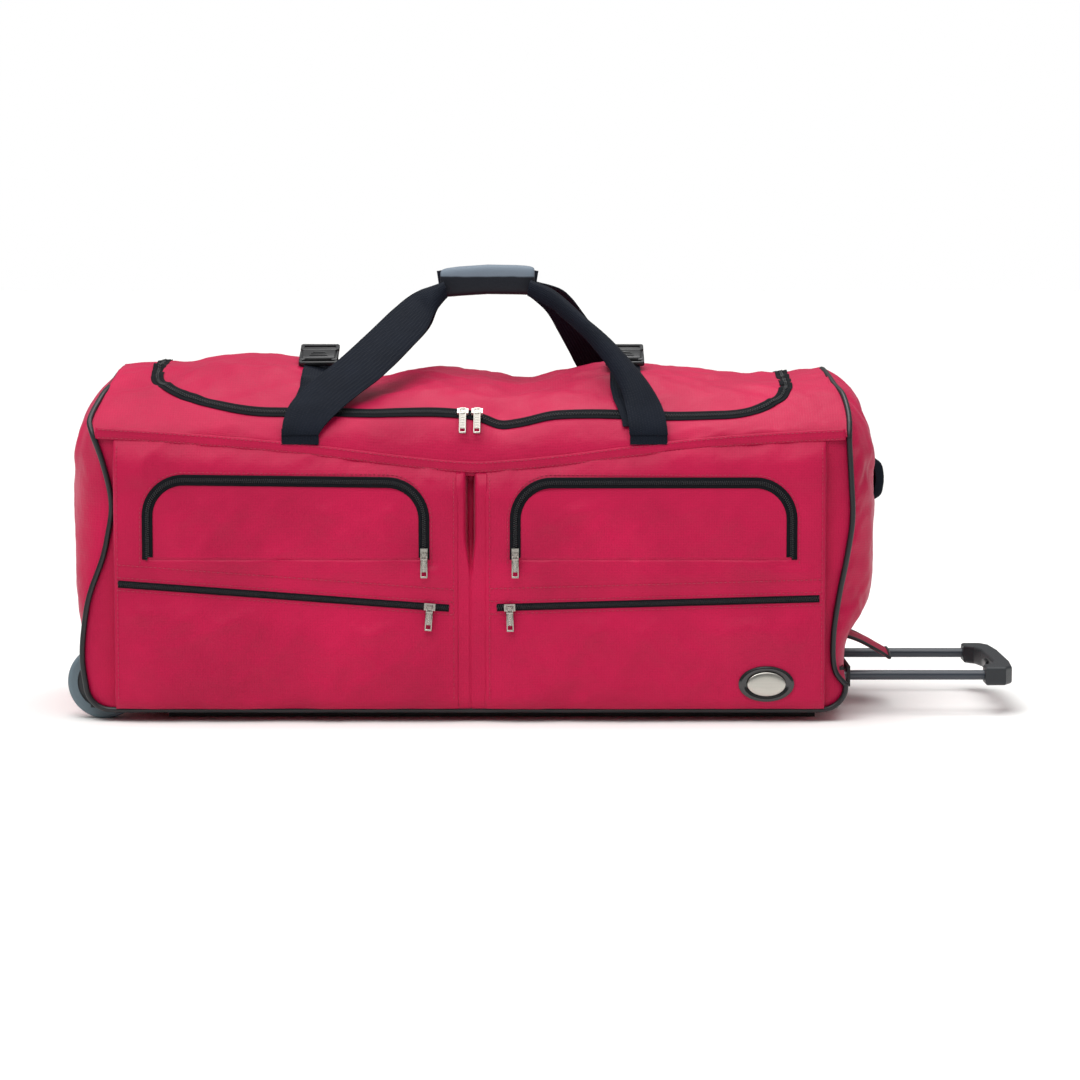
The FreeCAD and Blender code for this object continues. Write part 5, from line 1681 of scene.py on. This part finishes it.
@listed
class DUFFEL_OT_handle_cover(bpy.types.Operator):
    """Sew the hood that hangs over the mouth of the trolley handle"""

    bl_idname = "duffel.handle_cover"
    bl_label = "Handle cover"

    def execute(self, context):
        rows = steps(0, 66, 4)

        def skin(a, b):
            t = b / 66
            half = 54 - 14 * rise((t - 0.55) / 0.45)
            y = a / 54 * half
            x = 485.4 + 58 * t
            z = 95 - 6 * t - 19 * t**1.6
            z -= (2.2 + 5 * t) * (abs(a) / 54) ** 2.4 + 0.6 * ripple(a, b, 22, 3)
            return Vector((x, y, z))

        ob, _ = panel("handle_cover_cloth", steps(-54, 54, 5), rows, lambda c, r: (c, r), skin)
        edit(ob, lambda bm: bmesh.ops.recalc_face_normals(bm, faces=bm.faces))
        if sum(f.normal.z for f in ob.data.polygons) < 0:
            ob.data.flip_normals()
        finish_cloth(ob, 0.0026)
        dress(ob, "cover_flap", STORE["fabric"], ("handle_cover_flap",))
        edge = [skin(-54, b) for b in steps(0, 66, 6)] + [skin(a, 66) for a in steps(-54, 54, 6)]
        edge += [skin(54, b) for b in steps(66, 0, 6)]
        cord = tube("handle_cover_binding", edge, 2.0)
        dress(cord, "cover_flap", STORE["piping"])
        return {"FINISHED"}


@listed
class DUFFEL_OT_badge(bpy.types.Operator):
    """Set the plain oval badge on the right pocket: enamel rim and brushed plate"""

    bl_idname = "duffel.badge"
    bl_label = "Badge"

    def execute(self, context):
        for name, node, slot, store, crown in (
            ("badge_rim_shell", "badge_base", "badge_rim", "enamel", 2.4),
            ("badge_plate_shell", "badge_plate", "badge_metal", "plate", 1.6),
        ):
            lo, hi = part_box(node)
            clear_selection()
            bpy.ops.mesh.primitive_uv_sphere_add(segments=64, ring_count=24, radius=1.0)
            ob = named(name)
            middle, half = (lo + hi) / 2, (hi - lo) / 2
            back = hi.y if node == "badge_base" else hi.y - 0.0006
            for v in ob.data.vertices:
                x, z, out = v.co.x, v.co.y, v.co.z
                ring = min(1.0, math.hypot(x, z))
                flat = ring ** 0.55
                if ring > 1e-6:
                    x, z = x / ring * flat, z / ring * flat
                lift = crown * MM * (1 - flat**4) ** 0.5 if out > 0 else 0.0
                face = (0.0018 if node == "badge_base" else 0.0009) if out >= -0.05 else 0.0
                if node == "badge_base" and out > 0:
                    lift = 0.0014 * math.exp(-(((flat - 0.86) / 0.11) ** 2))
                v.co = Vector((middle.x + x * half.x, back - face - lift, middle.z + z * half.z))
            if sum(f.normal.dot(f.center - middle) for f in ob.data.polygons) < 0:
                ob.data.flip_normals()
            smooth(ob, 45)
            dress(ob, "bag", STORE[store], (node,))
        return {"FINISHED"}


def pull_frame(node, slider):
    """A zip pull's matrix and length from its CAD solid: Y outwards, Z up towards the pin, origin at the pin end."""
    spots = np.array([v.co for v in frame["nodes"][node].data.vertices], float)
    middle = (spots.min(0) + spots.max(0)) / 2
    centre = spots.mean(0)
    turned = np.linalg.svd(spots - centre, full_matrices=False)[2]
    lo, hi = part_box(slider)
    pin = np.array((lo + hi) / 2)
    along = turned[0] if (pin - middle) @ turned[0] > 0 else -turned[0]
    out = turned[2] if turned[2][1] < 0 else -turned[2]
    across = np.cross(out, along)
    reach = (spots - middle) @ along
    outward = (spots - middle) @ out
    sideways = (spots - middle) @ across
    origin = middle + along * reach.max() + out * (outward.max() + outward.min()) / 2
    origin = origin + across * (sideways.max() + sideways.min()) / 2
    turn = Matrix((Vector(across), Vector(-out), Vector(along))).transposed().to_4x4()
    return Matrix.Translation(Vector(origin)) @ turn, (reach.max() - reach.min()) / MM


def pull_shape(long):
    """A die-cast pull, in mm: an eye, a neck, and a framed plate with raised bars."""
    parts = [
        rounded_block("eye_a", (-4.3, -1.1, -7.5), (-2.6, 1.1, -0.6), 0.6, 2),
        rounded_block("eye_b", (2.6, -1.1, -7.5), (4.3, 1.1, -0.6), 0.6, 2),
        rounded_block("eye_top", (-4.3, -1.1, -1.9), (4.3, 1.1, -0.3), 0.6, 2),
        rounded_block("neck", (-4.5, -1.2, -9.6), (4.5, 1.2, -6.4), 0.8, 2),
        rounded_block("rail_a", (-4.5, -1.1, -long + 0.2), (-2.9, 1.1, -7), 0.7, 2),
        rounded_block("rail_b", (2.9, -1.1, -long + 0.2), (4.5, 1.1, -7), 0.7, 2),
        rounded_block("toe", (-4.5, -1.2, -long), (4.5, 1.2, -long + 2.6), 0.9, 3),
        rounded_block("plate", (-3.2, -0.35, -long + 7.5), (3.2, 0.35, -8), 0.2, 1),
    ]
    for height in steps(-long + 9, -10.5, 2.6):
        parts.append(rounded_block("bar", (-2.3, -0.8, height - 0.55), (2.3, 0.5, height + 0.55), 0.35, 1))
    return parts


@listed
class DUFFEL_OT_zip_pulls(bpy.types.Operator):
    """Cast the zip pulls"""

    bl_idname = "duffel.zip_pulls"
    bl_label = "Zip pulls"

    def execute(self, context):
        for row in ("main", "lower", "upper"):
            for side in ("left", "right"):
                node = "%s_pull_%s" % (row, side)
                place, long = pull_frame(node, "%s_slider_%s" % (row, side))
                ob = join(node + "_cast", pull_shape(long))
                place_by(ob, place)
                smooth(ob, 40)
                dress(ob, node, STORE["nickel"], (node,))
        return {"FINISHED"}


@listed
class DUFFEL_OT_hardware(bpy.types.Operator):
    """Finish the moulded, turned and plated parts that the frame already holds"""

    bl_idname = "duffel.hardware"
    bl_label = "Wheels, trolley and sliders"

    def execute(self, context):
        finish = {
            "base_board": "polypropylene", "skid_runners": "polypropylene", "wheel_housings": "polypropylene",
            "tube_mouth_plate": "polypropylene", "wheel_axles": "steel", "outer_tube_front": "guide",
            "outer_tube_back": "guide", "inner_tube_front": "tube", "inner_tube_back": "tube",
            "trolley_grip": "grip", "release_button": "acetal", "front_tyre": "tyre", "back_tyre": "tyre",
            "front_wheel_hub": "hub", "back_wheel_hub": "hub",
        }
        for row in ("main", "lower", "upper"):
            for side in ("left", "right"):
                finish["%s_slider_%s" % (row, side)] = "nickel"
        for node, store in finish.items():
            ob = frame["nodes"][node]
            for slot in ob.material_slots:
                slot.material = STORE[store]
        return {"FINISHED"}


# ---------------------------------------------------------------- stage
@listed
class DUFFEL_OT_stage(bpy.types.Operator):
    """Set the pale floor, the soft lights and the camera"""

    bl_idname = "duffel.stage"
    bl_label = "Studio"

    def execute(self, context):
        sizes, colours = context.scene.duffel_sizes, context.scene.duffel_colours
        clear_selection()
        bpy.ops.mesh.primitive_plane_add(size=60.0)
        floor = named("studio_floor")
        floor.data.materials.append(
            speckled("matt studio paper", colours.floor, {"Specular IOR Level": 0.2}, 0.01, 0.0, 0.8, 0.9, 0.01)
        )
        world = bpy.data.worlds.new("studio")
        world.use_nodes = True
        tree = world.node_tree
        soft = tree.nodes["Background"]
        soft.inputs["Color"].default_value = (1.0, 1.0, 1.0, 1.0)
        toward = add(tree, "ShaderNodeTexCoord")
        height = add(tree, "ShaderNodeSeparateXYZ", {0: toward.outputs["Generated"]})
        glow = add(tree, "ShaderNodeMapRange", {"Value": height.outputs["Z"]},
                   in_From_Min=0.0, in_From_Max=0.8, in_To_Min=0.14, in_To_Max=0.55)
        tree.links.new(glow.outputs[0], soft.inputs["Strength"])
        plain = add(tree, "ShaderNodeBackground", in_Color=(1.0, 1.0, 1.0, 1.0), in_Strength=1.0)
        seen = add(tree, "ShaderNodeLightPath")
        both = add(tree, "ShaderNodeMixShader",
                   {0: seen.outputs["Is Camera Ray"], 1: soft.outputs[0], 2: plain.outputs[0]})
        tree.links.new(both.outputs[0], tree.nodes["World Output"].inputs["Surface"])
        context.scene.world = world
        context.scene.view_settings.view_transform = "Standard"
        for name, place, size, power, aim in (
            ("key", (-0.5, -1.4, 2.0), 0.8, 7, (0, 0, 0.42)),
            ("top", (0.2, 0.4, 2.0), 1.0, 10, (0, 0, 0.4)),
        ):
            light = bpy.data.lights.new(name, "AREA")
            light.shape = "DISK"
            light.size = size
            light.energy = power
            ob = bpy.data.objects.new(name, light)
            context.scene.collection.objects.link(ob)
            ob.location = place
            ob.rotation_euler = (Vector(aim) - Vector(place)).to_track_quat("-Z", "Y").to_euler()
        sky = bpy.data.lights.new("overhead", "SUN")
        sky.energy = 2.55
        sky.angle = math.radians(70)
        ob = bpy.data.objects.new("overhead", sky)
        context.scene.collection.objects.link(ob)
        ob.rotation_euler = Vector((0.18, 0.3, -1.0)).to_track_quat("-Z", "Y").to_euler()
        lens = bpy.data.cameras.new("front_camera")
        lens.sensor_width = 36
        lens.lens = 109.9
        camera = bpy.data.objects.new("front_camera", lens)
        context.scene.collection.objects.link(camera)
        camera.location = (0.088, -sizes.camera_distance, 0.616)
        camera.rotation_euler = (math.radians(90 - 5.354), 0, 0)
        context.scene.camera = camera
        return {"FINISHED"}


class DUFFEL_PT_panel(bpy.types.Panel):
    """The duffel bag's pieces"""

    bl_idname = "DUFFEL_PT_panel"
    bl_label = "Rolling duffel bag"
    bl_space_type = "VIEW_3D"
    bl_region_type = "UI"
    bl_category = "Duffel"

    def draw(self, context):
        for group in (context.scene.duffel_sizes, context.scene.duffel_colours):
            box = self.layout.box()
            for key in group.bl_rna.properties.keys():
                if key not in ("rna_type", "name"):
                    box.prop(group, key)
        for operator in OPERATORS:
            self.layout.operator(operator.bl_idname)


def register():
    for cls in [DuffelSizes, DuffelColours, *OPERATORS, DUFFEL_PT_panel]:
        bpy.utils.register_class(cls)
    bpy.types.Scene.duffel_sizes = bpy.props.PointerProperty(type=DuffelSizes)
    bpy.types.Scene.duffel_colours = bpy.props.PointerProperty(type=DuffelColours)


def unregister():
    del bpy.types.Scene.duffel_sizes
    del bpy.types.Scene.duffel_colours
    for cls in reversed([DuffelSizes, DuffelColours, *OPERATORS, DUFFEL_PT_panel]):
        bpy.utils.unregister_class(cls)


def main():
    register()
    make_finishes(bpy.context.scene.duffel_colours)
    for operator in OPERATORS:
        group, name = operator.bl_idname.split(".")
        getattr(getattr(bpy.ops, group), name)()
    clear_selection()


if __name__ == "__main__":
    main()
